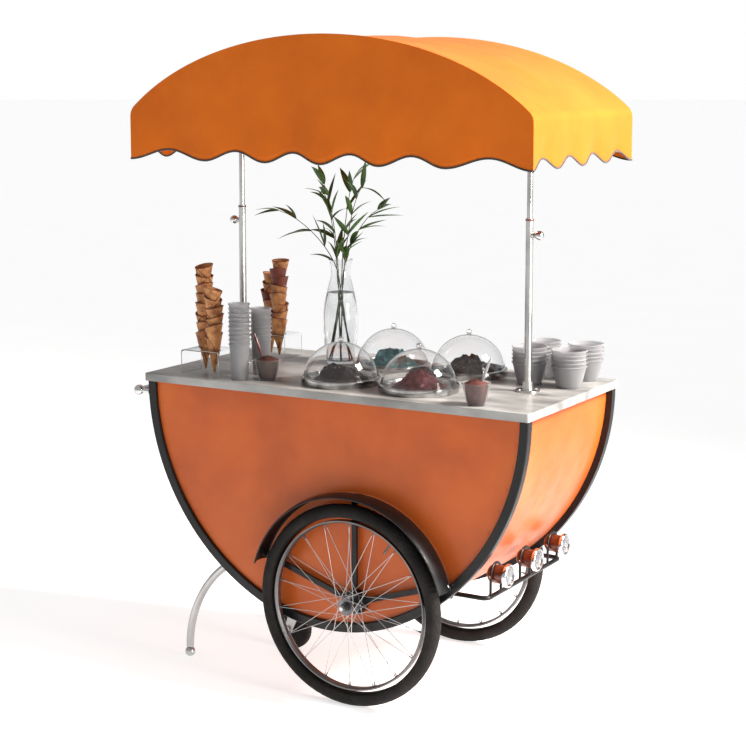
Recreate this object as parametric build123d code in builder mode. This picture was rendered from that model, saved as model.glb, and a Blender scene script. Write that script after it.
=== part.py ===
from build123d import *
import os
from math import atan2, cos, degrees, radians, sin, sqrt

os.makedirs("parts", exist_ok=True)

# Push vending cart. X runs along the cart (+X nose with lamps, -X tail with push handle),
# Y across it (-Y right side, +Y left, vendor's side), Z up, ground at Z = 0.
# Pieces are drawn about the middle of the counter. When kept they move along X by origin_shift,
# which puts the origin on the ground under the middle of the whole cart.
SIDES = {"right": 1, "left": -1}

# Clearances
running_fit = 0.05
curved_gap = 0.3
assembly_gap = 0.5

# Counter
counter_length = 1306
counter_width = 632
counter_height = 915
counter_thick = 24
counter_edge = 2.5
counter_corner = 6
end_overhang = 5
side_overhang = 10.5

# Hull: a U-shaped body, two rim bars with a wrap sheet between them
hull_bottom = 197.5
belly_angle = 25.6
rim_width = 27
rim_depth = 25
rim_chamfer = 2
wrap_setback = 20
sheet_thick = 2
panel_setback = 12
ledge_width = 25
top_rail = 25
floor_height = 640
floor_thick = 12
panel_screw_radius = 3
panel_screw_head = 4.5
panel_screw_head_thick = 1.2
panel_screw_count = 7
screw_top_gap = 40
screw_low_gap = 200

# Doors on the left side
door_sill = 668
door_height = 186
door_span = 824
door_gap = 1.5
door_swing_offset = 4.2
door_barrel_radius = 4
door_pin_radius = 2
door_knuckle_height = 14
hinge_leaf_width = 22
hinge_leaf_thick = 2
door_knob_radius = 10
door_knob_inset = 34

# Wheels
wheel_radius = 300
wheel_x = 99
wheel_reach = 35.5
tyre_height = 48
tyre_width = 48
tyre_wall = 4
wheel_rim_height = 8
wheel_rim_width = 26
wheel_rim_slope = 4
hub_shell_radius = 14
hub_flange_radius = 25
hub_flange_spacing = 42
hub_flange_thick = 3
hub_length = 66
spoke_radius = 0.9
spoke_pairs = 9
spoke_cross = 60
spoke_splay = 2.6
spoke_gap = 0.4
axle_radius = 10
axle_end_radius = 6
nut_across = 19
nut_thick = 10
axle_tip = 4

# Fenders
fender_clearance = 22
fender_thick = 2
fender_crown = 7
fender_width = 66
fender_start = 15
fender_end = 164
stay_width = 16
stay_thick = 9
stay_angles = (17.5, 90, 161.5)
boss_radius = 36
boss_lap = 4
hub_clearance = 3

# Stand: two curved legs on a cross shaft
leg_inset = 52.5
leg_radius = 12
leg_arc_radius = 350
leg_arc_x = -209
leg_arc_z = 32
shaft_drop = 22.1
foot_radius = 16
foot_height = 41.6
stand_shaft_radius = 10
stand_block_width = 20
stand_block_inset = 58
stand_block_wall = 6
stand_block_lean = 12

# Caster
caster_x = -290
caster_trail = 34
caster_radius = 70
caster_wheel_width = 30
caster_tread_round = 8
caster_hub_radius = 22
caster_hub_width = 32
caster_axle_radius = 6
caster_nut_across = 18
caster_nut_thick = 8
fork_thick = 5
fork_plate = 46
fork_gap = 2
fork_clearance = 10
fork_foot = 14
fork_foot_drop = 8
caster_post = 42
caster_plate = 76
caster_plate_thick = 6
swivel_radius = 26
swivel_height = 12
kingpin_radius = 8

# Lamp rack
rack_reach = 96.0
rack_z = 355
rack_inset = 34.5
rack_tube = 7
rack_bend = 20
rack_root_depth = 40
rack_boss_radius = 16.8
rack_boss_reach = 14
lamp_end_inset = 54
hoop_half = 33
hoop_tube = 4
hoop_centre_z = 415
hoop_foot_rise = 2.8
lamp_body_radius = 26.5
lamp_body_front = 34
lamp_body_back = 22
lamp_tail_radius = 13
lamp_shoulder = 6
lamp_bowl_depth = 10
lamp_bowl_radius = 22
lamp_wall = 2
lamp_ring_radius = 34
lamp_ring_thick = 12
lamp_ring_round = 2.5
lamp_lens_thick = 3
lamp_pin_radius = 2
lamp_pin_head = 3
bulb_radius = 7
bulb_length = 38

# Push handle
handle_reach = 44
handle_z = 854
handle_ball = 17
handle_tube = 10
handle_post = 7
handle_foot_sink = 4
handle_foot_thick = 6

# Canopy poles
pole_x = 500
lower_pole_radius = 11
upper_pole_radius = 8.5
upper_pole_wall = 2
lower_pole_top = 1412
pole_overlap = 170
flange_radius = 36
flange_thick = 5
collar_radius = 15.5
collar_height = 30
flange_screw_circle = 26
flange_screw_radius = 4
flange_screw_head = 2.5
bush_height = 5
bush_lip = 1
clamp_z = 1370
clamp_boss_radius = 8
clamp_boss_reach = 16
clamp_screw_radius = 3
clamp_ball_radius = 14
clamp_ball_reach = 31

# Canopy
canopy_half_length = 670
canopy_half_width = 341
canopy_hem = 1573
canopy_ridge = 1942
canopy_arc_length = 800
canopy_arc_height = 490
canopy_cloth = 3
bow_tube = 6
bow_inset = 14
purlin_radius = 4.8
purlin_end_inset = 30
socket_radius = 12
socket_length = 34
socket_floor = 4

# Serving set
tray_radius = 119
tray_height = 22
tray_floor = 2
tray_ledge = 13
tray_slope = 8
tray_positions = ((-37, -163), (226, -158), (-36, 151), (226, 157))
dome_radius = 112
dome_height = 103
dome_wall = 2.5
dome_knob_radius = 9
dome_knob_stem = 8
dome_stem_radius = 3
gelato_radius = 86
gelato_height = 58
cone_spots = ((-518, -182, 335), (-450, -233, 274), (-462, 150, 324), (-522, 190, 274))
cone_top_radius = 29
cone_foot_radius = 12
cone_waist_radius = 20
cone_hole_radius = 22
holder_size = 140
holder_depth = 104
holder_height = 74
holder_wall = 3
holder_spots = ((-484, -208), (-492, 170))
cup_top_radius = 54
cup_foot_radius = 36
cup_height = 66
cup_step = 11.6
cup_wall = 1.5
cup_spots = ((448, 123, 5), (435, 244, 5), (577, 118, 5), (570, 257, 5))
tall_cup_spots = ((-334, -262, 10), (-331, -150, 8))
tall_cup_radius = 33
tall_cup_foot_radius = 24.75
tall_cup_height = 110
tall_cup_step = 13.5
filled_cup_spots = ((-257, -226), (468, -266))
filled_cup_radius = 42
filled_cup_foot_radius = 27
filled_cup_height = 64
vase_spot = (-235, 160)
vase_height = 330
vase_foot = 46.8
vase_belly = 60
vase_belly_z = 125.4
vase_neck = 28
vase_neck_z = 257.4
vase_mouth = 42
vase_wall = 3
vase_floor = 8

# Derived sizes
hull_half = counter_length / 2 - end_overhang
hull_top = counter_height - counter_thick
rim_face = counter_width / 2 - side_overhang
rim_back = rim_face - rim_depth
panel_face = rim_face - panel_setback
panel_back = panel_face - sheet_thick
ledge_thick = panel_back - rim_back
hull_depth = hull_top - hull_bottom
belly_sin = sin(radians(belly_angle))
belly_cos = cos(radians(belly_angle))
radius_step = (hull_depth - hull_half) / (belly_sin + belly_cos - 1)
belly_radius = hull_depth - radius_step * belly_cos
side_radius = belly_radius + radius_step
belly_z = hull_bottom + belly_radius
side_x = hull_half - side_radius
wrap_inside = wrap_setback + sheet_thick
ledge_outer = rim_width + curved_gap
door_middle = door_sill + door_height / 2
door_pin_y = panel_face + door_swing_offset
wheel_y = rim_face + wheel_reach
wheel_rim_outer = wheel_radius - tyre_height
wheel_rim_inner = wheel_rim_outer - wheel_rim_height
axle_reach = wheel_y + hub_length / 2 + assembly_gap
fender_radius = wheel_radius + fender_clearance
fender_inner_edge = rim_face + assembly_gap
leg_x = leg_arc_x - leg_arc_radius
leg_y = rim_back - leg_inset
stand_block_y = leg_y - stand_block_inset
fork_top = 2 * caster_radius + fork_clearance
fork_inside = caster_wheel_width / 2 + fork_gap
caster_plate_low = fork_top + fork_thick + swivel_height
caster_wheel_x = caster_x - caster_trail
rack_y = rim_back - rack_inset
lamp_pitch = rack_y - lamp_end_inset
handle_x = hull_half + handle_reach
clamp_tip = upper_pole_radius + curved_gap
canopy_arc_z = canopy_ridge - canopy_arc_height
purlin_end = canopy_half_length - purlin_end_inset
purlin_x = (-purlin_end, -pole_x, -pole_x / 2, 0, pole_x / 2, pole_x, purlin_end)
origin_shift = (handle_x + handle_ball - canopy_half_length) / 2


def hull_half_at(z, inset):
    """Half length of the hull at height z, measured to the outline moved in by inset."""
    side = side_radius - inset
    if z > belly_z - (belly_radius - inset) * belly_cos:
        return side_x + sqrt(side**2 - (hull_top - z) ** 2)
    return sqrt((belly_radius - inset) ** 2 - (belly_z - z) ** 2)


def hull_low_at(x, inset):
    """Height of the hull's underside at x, measured to the outline moved in by inset."""
    if abs(x) < (belly_radius - inset) * belly_sin:
        return belly_z - sqrt((belly_radius - inset) ** 2 - x**2)
    return hull_top - sqrt((side_radius - inset) ** 2 - (abs(x) - side_x) ** 2)


def canopy_arc_at(x, inset):
    """Height of the canopy's roof arc at x, moved in by inset."""
    share = x / (canopy_arc_length - inset)
    return canopy_arc_z + (canopy_arc_height - inset) * sqrt(1 - share**2)


class HullFace(BaseSketchObject):
    """The U outline of the hull, closed along its flat top, moved in by inset."""

    def __init__(self, inset, mode=Mode.ADD):
        belly = belly_radius - inset
        side = side_radius - inset
        half = hull_half - inset
        turn = 90 - belly_angle
        with BuildSketch() as face:
            with BuildLine():
                CenterArc((0, belly_z), belly, -90 - belly_angle, 2 * belly_angle)
                CenterArc((side_x, hull_top), side, -turn, turn)
                CenterArc((-side_x, hull_top), side, 180, turn)
                Line((-half, hull_top), (half, hull_top))
            make_face()
        super().__init__(obj=face.sketch, rotation=0, align=None, mode=mode)


class CanopyFace(BaseSketchObject):
    """The gable outline of the canopy, moved in by inset and down to foot."""

    def __init__(self, inset, foot, mode=Mode.ADD):
        half = canopy_half_length - inset
        long_radius = canopy_arc_length - inset
        high_radius = canopy_arc_height - inset
        shoulder = canopy_arc_at(half, inset)
        angle = degrees(atan2((shoulder - canopy_arc_z) / high_radius, half / long_radius))
        with BuildSketch() as face:
            with BuildLine():
                EllipticalCenterArc(
                    (0, canopy_arc_z), long_radius, high_radius,
                    start_angle=angle, arc_size=180 - 2 * angle,
                )
                Line((-half, shoulder), (-half, foot))
                Line((-half, foot), (half, foot))
                Line((half, foot), (half, shoulder))
            make_face()
        super().__init__(obj=face.sketch, rotation=0, align=None, mode=mode)


def keep(builder, label):
    """Label a finished piece and write it as its own STEP file."""
    builder.part = builder.part.moved(Location((origin_shift, 0, 0)))
    builder.part.label = label
    export_step(builder.part, f"parts/{label}.step")


def side_plane(side, reach):
    """An XZ plane at distance reach from the middle, on the right or the left side."""
    return Plane.XZ.offset(side * reach)


def turning_plane(x, y, z):
    """A plane for half sections about an upright axis: sketch X is radius, sketch Y is height."""
    return Plane((x, y, z), x_dir=(1, 0, 0), z_dir=(0, -1, 0))


def turning_axis(x, y):
    """The upright axis through (x, y)."""
    return Axis((x, y, 0), (0, 0, 1))


rack_x = hull_half_at(rack_z, 0) + rack_reach


# ---------------------------------------------------------------- counter and hull
def make_counter():
    with BuildPart() as counter:
        with BuildSketch(Plane.XY.offset(hull_top)):
            Rectangle(counter_length, counter_width)
        extrude(amount=counter_thick)
        fillet(counter.edges().filter_by(Axis.Z), counter_corner)
        fillet(counter.faces().sort_by(Axis.Z)[-1].edges(), counter_edge)
    keep(counter, "counter_top")


def make_rim(name, side):
    with BuildPart() as rim:
        with BuildSketch(side_plane(side, rim_face)):
            HullFace(0)
            HullFace(rim_width, mode=Mode.SUBTRACT)
        extrude(amount=-side * rim_depth)
        outer = rim.faces().filter_by(Axis.Y).sort_by(Axis.Y)[0 if side > 0 else -1]
        chamfer(outer.edges().filter_by(GeomType.CIRCLE), rim_chamfer)
    keep(rim, f"{name}_rim")


def make_panel(name, side, has_doorway):
    with BuildPart() as panel:
        with BuildSketch(side_plane(side, panel_face)):
            HullFace(ledge_outer)
            with Locations((wheel_x, wheel_radius)):
                Circle(axle_radius + curved_gap, mode=Mode.SUBTRACT)
            with Locations(*screw_spots()):
                Circle(panel_screw_radius + running_fit, mode=Mode.SUBTRACT)
            if has_doorway:
                with Locations((0, door_middle)):
                    Rectangle(door_span, door_height, mode=Mode.SUBTRACT)
        extrude(amount=-side * sheet_thick)
    keep(panel, f"{name}_panel")


def screw_spots():
    """Screw places along the middle of the ledge behind each side panel."""
    inset = ledge_outer + ledge_width / 2
    spots = []
    for index in range(panel_screw_count):
        share = (index + 0.5) / panel_screw_count
        z = hull_top - screw_top_gap - share * (hull_depth - screw_top_gap - screw_low_gap)
        spots.append((hull_half_at(z, inset), z))
        spots.append((-hull_half_at(z, inset), z))
    return spots


def make_ledges():
    with BuildPart() as ledges:
        for side in SIDES.values():
            with BuildSketch(side_plane(side, panel_back)):
                HullFace(ledge_outer)
                HullFace(ledge_outer + ledge_width, mode=Mode.SUBTRACT)
                with Locations(*screw_spots()):
                    Circle(panel_screw_radius + running_fit, mode=Mode.SUBTRACT)
            extrude(amount=-side * ledge_thick)
    keep(ledges, "panel_ledges")


def make_panel_screws():
    with BuildPart() as screws:
        for side in SIDES.values():
            with BuildSketch(side_plane(side, panel_face)):
                with Locations(*screw_spots()):
                    Circle(panel_screw_head)
            extrude(amount=side * panel_screw_head_thick)
            with BuildSketch(side_plane(side, panel_face)):
                with Locations(*screw_spots()):
                    Circle(panel_screw_radius)
            extrude(amount=-side * (sheet_thick + ledge_thick))
    keep(screws, "panel_screws")


def make_wrap():
    with BuildPart() as wrap:
        with BuildSketch(side_plane(1, rim_back)):
            HullFace(wrap_setback)
            HullFace(wrap_inside, mode=Mode.SUBTRACT)
        extrude(amount=-2 * rim_back)
    keep(wrap, "wrap_sheet")


def make_top_frame():
    low = hull_top - top_rail
    length = 2 * (hull_half_at(low, wrap_inside) - assembly_gap)
    width = 2 * rim_back
    with BuildPart() as frame:
        with BuildSketch(Plane.XY.offset(low)):
            Rectangle(length, width)
            Rectangle(length - 2 * top_rail, width - 2 * top_rail, mode=Mode.SUBTRACT)
            with Locations((pole_x, 0), (-pole_x, 0), (0, 0)):
                Rectangle(2 * flange_radius, width - top_rail)
        extrude(amount=top_rail)
    keep(frame, "top_frame")


def make_floor():
    half = hull_half_at(floor_height, wrap_inside) - assembly_gap
    with BuildPart() as floor:
        with BuildSketch(Plane.XY.offset(floor_height)):
            Rectangle(2 * half, 2 * rim_back)
        extrude(amount=floor_thick)
    keep(floor, "storage_floor")


# ---------------------------------------------------------------- doors
def make_door(name, end):
    """A door leaf with its hinge barrel; end is +1 at the nose, -1 at the tail."""
    barrel_x = end * (door_span / 2 - door_barrel_radius)
    leaf = door_span / 2 - 1.5 * door_gap
    barrel = door_height - 2 * door_gap - 2 * door_knuckle_height
    with BuildPart() as door:
        with BuildSketch(side_plane(-1, panel_back)):
            with Locations((end * (door_gap + leaf) / 2, door_middle)):
                Rectangle(leaf, door_height - 2 * door_gap)
        extrude(amount=-sheet_thick)
        with BuildSketch(Plane.XY.offset(door_middle - barrel / 2)):
            with Locations((barrel_x, door_pin_y)):
                Circle(door_barrel_radius)
            with Locations((barrel_x - end * door_barrel_radius / 2, panel_face + hinge_leaf_thick / 2)):
                Rectangle(door_barrel_radius, hinge_leaf_thick)
        extrude(amount=barrel)
        with Locations((barrel_x, door_pin_y, door_middle)):
            Cylinder(door_pin_radius + running_fit, door_height, mode=Mode.SUBTRACT)
        with BuildSketch(side_plane(-1, panel_face)):
            with Locations((end * door_knob_inset, door_middle)):
                Circle(door_knob_radius / 2)
        extrude(amount=-door_knob_radius)
        with Locations((end * door_knob_inset, panel_face + 1.6 * door_knob_radius, door_middle)):
            Sphere(door_knob_radius)
    keep(door, f"{name}_door")


def make_door_pins():
    half = door_height / 2 - door_gap
    with BuildPart() as pins:
        for end in (-1, 1):
            pin_x = end * (door_span / 2 - door_barrel_radius)
            leaf_x = pin_x + end * hinge_leaf_width / 2
            with Locations((pin_x, door_pin_y, door_middle)):
                Cylinder(door_pin_radius, 2 * half)
            for low in (-half - assembly_gap, half - door_knuckle_height + assembly_gap):
                with BuildSketch(Plane.XY.offset(door_middle + low)):
                    with Locations((pin_x, door_pin_y)):
                        Circle(door_barrel_radius)
                    with Locations((leaf_x, panel_face + hinge_leaf_thick / 2)):
                        Rectangle(hinge_leaf_width, hinge_leaf_thick)
                extrude(amount=door_knuckle_height)
    keep(pins, "door_pins")


# ---------------------------------------------------------------- wheels and axle
def wheel_axis(side):
    return Axis((wheel_x, -side * wheel_y, wheel_radius), (0, 1, 0))


def wheel_plane(side):
    """A plane for sections of a wheel: sketch X is radius, sketch Y runs along the axle."""
    return Plane((wheel_x, -side * wheel_y, wheel_radius), x_dir=(1, 0, 0), z_dir=(0, 0, 1))


def make_tyre(name, side):
    crown = wheel_radius - tyre_height / 2
    with BuildPart() as tyre:
        with BuildSketch(wheel_plane(side)):
            with Locations((crown, 0)):
                Ellipse(tyre_height / 2, tyre_width / 2)
                Ellipse(tyre_height / 2 - tyre_wall, tyre_width / 2 - tyre_wall, mode=Mode.SUBTRACT)
            with Locations((wheel_rim_outer, 0)):
                Rectangle(tyre_height / 2, wheel_rim_width / 2, mode=Mode.SUBTRACT)
        revolve(axis=wheel_axis(side))
    keep(tyre, f"{name}_tyre")


def make_wheel_rim(name, side):
    low = wheel_rim_inner
    high = wheel_rim_outer - curved_gap
    half = wheel_rim_width / 2
    with BuildPart() as rim:
        with BuildSketch(wheel_plane(side)):
            with BuildLine():
                Polyline(
                    (high, -half), (high, half), (low + wheel_rim_slope, half), (low, half / 2),
                    (low, -half / 2), (low + wheel_rim_slope, -half), (high, -half),
                )
            make_face()
        revolve(axis=wheel_axis(side))
    keep(rim, f"{name}_wheel_rim")


def make_hub(name, side):
    flange = hub_flange_spacing / 2
    with BuildPart() as hub:
        with BuildSketch(side_plane(side, wheel_y - hub_length / 2)):
            with Locations((wheel_x, wheel_radius)):
                Circle(hub_shell_radius)
        extrude(amount=side * hub_length)
        for place in (-flange, flange):
            with BuildSketch(side_plane(side, wheel_y + place - hub_flange_thick / 2)):
                with Locations((wheel_x, wheel_radius)):
                    Circle(hub_flange_radius)
            extrude(amount=side * hub_flange_thick)
        with BuildSketch(side_plane(side, wheel_y - hub_length)):
            with Locations((wheel_x, wheel_radius)):
                Circle(axle_end_radius + running_fit)
        extrude(amount=side * 2 * hub_length, mode=Mode.SUBTRACT)
    keep(hub, f"{name}_hub")


def spoke_ends(index, flange, lean):
    """Hub end and rim end of a spoke, as (x, y, z) from the wheel's centre."""
    hub_angle = radians(index * 360 / spoke_pairs + (0 if flange > 0 else 180 / spoke_pairs))
    rim_angle = hub_angle + radians(lean * (spoke_cross + 90 / spoke_pairs))
    start = hub_flange_radius + spoke_gap
    stop = wheel_rim_inner - spoke_gap
    y_hub = flange * hub_flange_spacing / 2 + lean * spoke_splay
    y_rim = flange * wheel_rim_width / 6
    near = Vector(start * cos(hub_angle), y_hub, start * sin(hub_angle))
    far = Vector(stop * cos(rim_angle), y_rim, stop * sin(rim_angle))
    return near, far


def make_spokes(name, side):
    centre = Vector(wheel_x, -side * wheel_y, wheel_radius)
    with BuildPart() as spokes:
        for index in range(spoke_pairs):
            for flange in (-1, 1):
                for lean in (-1, 1):
                    near, far = spoke_ends(index, flange, lean)
                    run = far - near
                    plane = Plane(centre + near, z_dir=run)
                    with BuildSketch(plane):
                        Circle(spoke_radius)
                    extrude(amount=run.length)
    keep(spokes, f"{name}_spokes")


def make_axle():
    shoulder = wheel_y - hub_length / 2 - assembly_gap
    with BuildPart() as axle:
        with BuildSketch(side_plane(1, shoulder)):
            with Locations((wheel_x, wheel_radius)):
                Circle(axle_radius)
        extrude(amount=-2 * shoulder)
        with BuildSketch(side_plane(1, axle_reach + nut_thick + axle_tip)):
            with Locations((wheel_x, wheel_radius)):
                Circle(axle_end_radius)
        extrude(amount=-2 * (axle_reach + nut_thick + axle_tip))
    keep(axle, "axle")


def make_axle_nuts():
    with BuildPart() as nuts:
        for side in SIDES.values():
            with BuildSketch(side_plane(side, axle_reach)):
                with Locations((wheel_x, wheel_radius)):
                    RegularPolygon(nut_across / 2, 6, major_radius=False)
                    Circle(axle_end_radius + running_fit, mode=Mode.SUBTRACT)
            extrude(amount=side * nut_thick)
    keep(nuts, "axle_nuts")


# ---------------------------------------------------------------- fenders
def make_fender(name, side):
    inner = -side * fender_inner_edge
    outer = inner - side * fender_width
    middle = (inner + outer) / 2
    low = fender_radius
    crest = low + fender_crown
    plane = Plane((wheel_x, 0, wheel_radius), x_dir=(1, 0, 0), z_dir=(0, 0, 1))
    with BuildPart() as fender:
        with BuildSketch(plane) as section:
            with BuildLine():
                ThreePointArc((low, inner), (crest, middle), (low, outer))
                Line((low, outer), (low + fender_thick, outer))
                ThreePointArc(
                    (low + fender_thick, outer), (crest + fender_thick, middle),
                    (low + fender_thick, inner),
                )
                Line((low + fender_thick, inner), (low, inner))
            make_face()
        revolve(
            section.sketch.rotate(wheel_axis(side), -fender_start).face(),
            axis=wheel_axis(side), revolution_arc=-(fender_end - fender_start), clean=True,
        )
    keep(fender, f"{name}_fender")


def boss_ring():
    """Ring of the boss that carries the stays round the axle."""
    with Locations((wheel_x, wheel_radius)):
        Circle(boss_radius)
        Circle(axle_radius + curved_gap, mode=Mode.SUBTRACT)


def make_stays():
    start = boss_radius - boss_lap
    stop = fender_radius - curved_gap
    low = fender_inner_edge
    with BuildPart() as stays:
        for side in SIDES.values():
            with BuildSketch(side_plane(side, panel_face)):
                boss_ring()
            extrude(amount=side * (low + stay_thick - panel_face))
            with BuildSketch(side_plane(side, low)):
                for angle in stay_angles:
                    with Locations(Location((wheel_x, wheel_radius, 0), (0, 0, angle))):
                        with Locations(((start + stop) / 2, 0)):
                            Rectangle(stop - start, stay_width)
            extrude(amount=side * stay_thick)
            with BuildSketch(side_plane(side, panel_face)):
                with Locations((wheel_x, wheel_radius)):
                    Circle(hub_flange_radius + hub_clearance)
            extrude(amount=side * 2 * panel_face, mode=Mode.SUBTRACT)
            with BuildSketch(side_plane(side, panel_face)):
                boss_ring()
            extrude(amount=side * (low - panel_face))
    keep(stays, "fender_stays")


# ---------------------------------------------------------------- stand
def stand_pivot():
    """Centre of the cross shaft: where the leg arc comes within shaft_drop of the hull."""
    angle = 180
    while angle > 90:
        x = leg_arc_x + leg_arc_radius * cos(radians(angle))
        z = leg_arc_z + leg_arc_radius * sin(radians(angle))
        if hull_low_at(x, wrap_setback) - z < shaft_drop:
            break
        angle -= 0.1
    return x, z, angle


def make_stand():
    x, z, angle = stand_pivot()
    with BuildPart() as stand:
        with Locations(Location((x, 0, z), (90, 0, 0))):
            Cylinder(stand_shaft_radius, 2 * leg_y + 2 * leg_radius)
        for side in (-1, 1):
            foot = Plane((leg_x, side * leg_y, leg_arc_z), z_dir=(0, 0, 1))
            with BuildSketch(foot):
                Circle(leg_radius)
            axis = Axis((leg_arc_x, side * leg_y, leg_arc_z), (0, 1, 0))
            revolve(axis=axis, revolution_arc=180 - angle)
    keep(stand, "stand_frame")


def make_feet():
    with BuildPart() as feet:
        for side in (-1, 1):
            with Locations((leg_x, side * leg_y, foot_radius)):
                Sphere(foot_radius)
        with BuildSketch(Plane.XY.offset(leg_arc_z)):
            with Locations((leg_x, 0)):
                Rectangle(4 * foot_radius, 3 * leg_y)
        extrude(amount=foot_height - leg_arc_z, mode=Mode.SUBTRACT)
    keep(feet, "stand_feet")


def make_stand_blocks():
    x, z, _ = stand_pivot()
    wide = 2 * (stand_shaft_radius + stand_block_wall)
    with BuildPart() as blocks:
        for side in (-1, 1):
            with BuildSketch(side_plane(side, stand_block_y + stand_block_width / 2)):
                with Locations((x, z)):
                    Circle(wide / 2)
                with Locations((x + stand_block_lean, z + wide)):
                    Rectangle(wide + 2 * stand_block_lean, 2 * wide)
                HullFace(wrap_setback - running_fit, mode=Mode.SUBTRACT)
                with Locations((x, z)):
                    Circle(stand_shaft_radius + running_fit, mode=Mode.SUBTRACT)
            extrude(amount=-side * stand_block_width)
    keep(blocks, "stand_blocks")


# ---------------------------------------------------------------- caster
def make_caster_post():
    with BuildPart() as post:
        with BuildSketch(Plane.XY.offset(caster_plate_low)):
            with Locations((caster_x, 0)):
                Rectangle(caster_plate, caster_plate)
        extrude(amount=caster_plate_thick)
        with BuildSketch(Plane.XY.offset(caster_plate_low)):
            with Locations((caster_x, 0)):
                Rectangle(caster_post, caster_post)
        extrude(amount=hull_top / 2)
        with BuildSketch(side_plane(1, rim_back)):
            HullFace(wrap_setback - running_fit)
        extrude(amount=-2 * rim_back, mode=Mode.SUBTRACT)
        with BuildSketch(Plane.XY.offset(fork_top)):
            with Locations((caster_x, 0)):
                Circle(kingpin_radius)
        extrude(amount=caster_plate_low - fork_top + caster_plate_thick / 2)
    keep(post, "caster_post")


def make_caster_fork():
    low = caster_radius - fork_foot_drop
    high = fork_top + fork_thick / 2
    tail = caster_x - fork_plate / 2
    nose = caster_x + fork_plate / 2
    with BuildPart() as fork:
        with BuildSketch(Plane.XY.offset(fork_top)):
            with Locations((caster_x, 0)):
                Rectangle(fork_plate, 2 * (fork_inside + fork_thick))
        extrude(amount=fork_thick)
        with BuildSketch(Plane.XY.offset(fork_top + fork_thick)):
            with Locations((caster_x, 0)):
                Circle(swivel_radius)
        extrude(amount=swivel_height - curved_gap)
        for side in (-1, 1):
            with BuildSketch(side_plane(side, fork_inside)):
                with BuildLine():
                    Polyline(
                        (tail, high), (nose, high), (caster_wheel_x + fork_foot, low),
                        (caster_wheel_x - fork_foot, low), (tail, high),
                    )
                make_face()
            extrude(amount=side * fork_thick)
        with Locations(Location((caster_wheel_x, 0, caster_radius), (90, 0, 0))):
            Cylinder(caster_axle_radius + running_fit, 4 * fork_plate, mode=Mode.SUBTRACT)
        with Locations((caster_x, 0, fork_top)):
            Cylinder(kingpin_radius + running_fit, 2 * fork_top, mode=Mode.SUBTRACT)
    keep(fork, "caster_fork")


def make_caster_wheel():
    with BuildPart() as wheel:
        with Locations(Location((caster_wheel_x, 0, caster_radius), (90, 0, 0))):
            Cylinder(caster_radius, caster_wheel_width)
        fillet(wheel.edges().filter_by(GeomType.CIRCLE), caster_tread_round)
        with Locations(Location((caster_wheel_x, 0, caster_radius), (90, 0, 0))):
            Cylinder(caster_hub_radius, caster_hub_width)
            Cylinder(caster_axle_radius + running_fit, 2 * caster_hub_width, mode=Mode.SUBTRACT)
    keep(wheel, "caster_wheel")


def make_caster_axle():
    seat = fork_inside + fork_thick
    with BuildPart() as bolt:
        with Locations(Location((caster_wheel_x, 0, caster_radius), (90, 0, 0))):
            Cylinder(caster_axle_radius, 2 * seat + caster_nut_thick)
        for side in (-1, 1):
            with BuildSketch(side_plane(side, seat)):
                with Locations((caster_wheel_x, caster_radius)):
                    RegularPolygon(caster_nut_across / 2, 6, major_radius=False)
            extrude(amount=side * caster_nut_thick)
    keep(bolt, "caster_axle")


# ---------------------------------------------------------------- lamp rack
def make_lamp_rack():
    root = hull_half_at(rack_z, wrap_setback) - rack_root_depth
    with BuildPart() as rack:
        with BuildLine(Plane.XY.offset(rack_z)) as path:
            FilletPolyline(
                (root, -rack_y), (rack_x, -rack_y), (rack_x, rack_y), (root, rack_y), radius=rack_bend,
            )
        with BuildSketch(Plane((root, -rack_y, rack_z), z_dir=(1, 0, 0))):
            Circle(rack_tube)
        sweep(path=path.wires()[0])
        for side in (-1, 1):
            with BuildSketch(Plane((root, side * rack_y, rack_z), z_dir=(1, 0, 0))):
                Circle(rack_boss_radius)
            extrude(amount=rack_root_depth + rack_boss_reach)
        with BuildSketch(side_plane(1, rim_back)):
            HullFace(wrap_setback - running_fit)
        extrude(amount=-2 * rim_back, mode=Mode.SUBTRACT)
    keep(rack, "lamp_rack")


def make_hoops():
    foot = rack_z + hoop_foot_rise
    with BuildPart() as hoops:
        for index in (-1, 0, 1):
            y = index * lamp_pitch
            with BuildLine(Plane.YZ.offset(rack_x)) as path:
                Line((y - hoop_half, foot), (y - hoop_half, hoop_centre_z))
                ThreePointArc(
                    (y - hoop_half, hoop_centre_z), (y, hoop_centre_z + hoop_half),
                    (y + hoop_half, hoop_centre_z),
                )
                Line((y + hoop_half, hoop_centre_z), (y + hoop_half, foot))
            with BuildSketch(Plane((rack_x, y - hoop_half, foot), z_dir=(0, 0, 1))):
                Circle(hoop_tube)
            sweep(path=path.wires()[0])
            with Locations(Location((rack_x, y, hoop_centre_z), (90, 0, 0))):
                Cylinder(lamp_pin_radius + running_fit, 3 * hoop_half, mode=Mode.SUBTRACT)
        with Locations(Location((rack_x, 0, rack_z), (90, 0, 0))):
            Cylinder(rack_tube + running_fit, 4 * lamp_pitch, mode=Mode.SUBTRACT)
    keep(hoops, "lamp_hoops")


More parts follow.
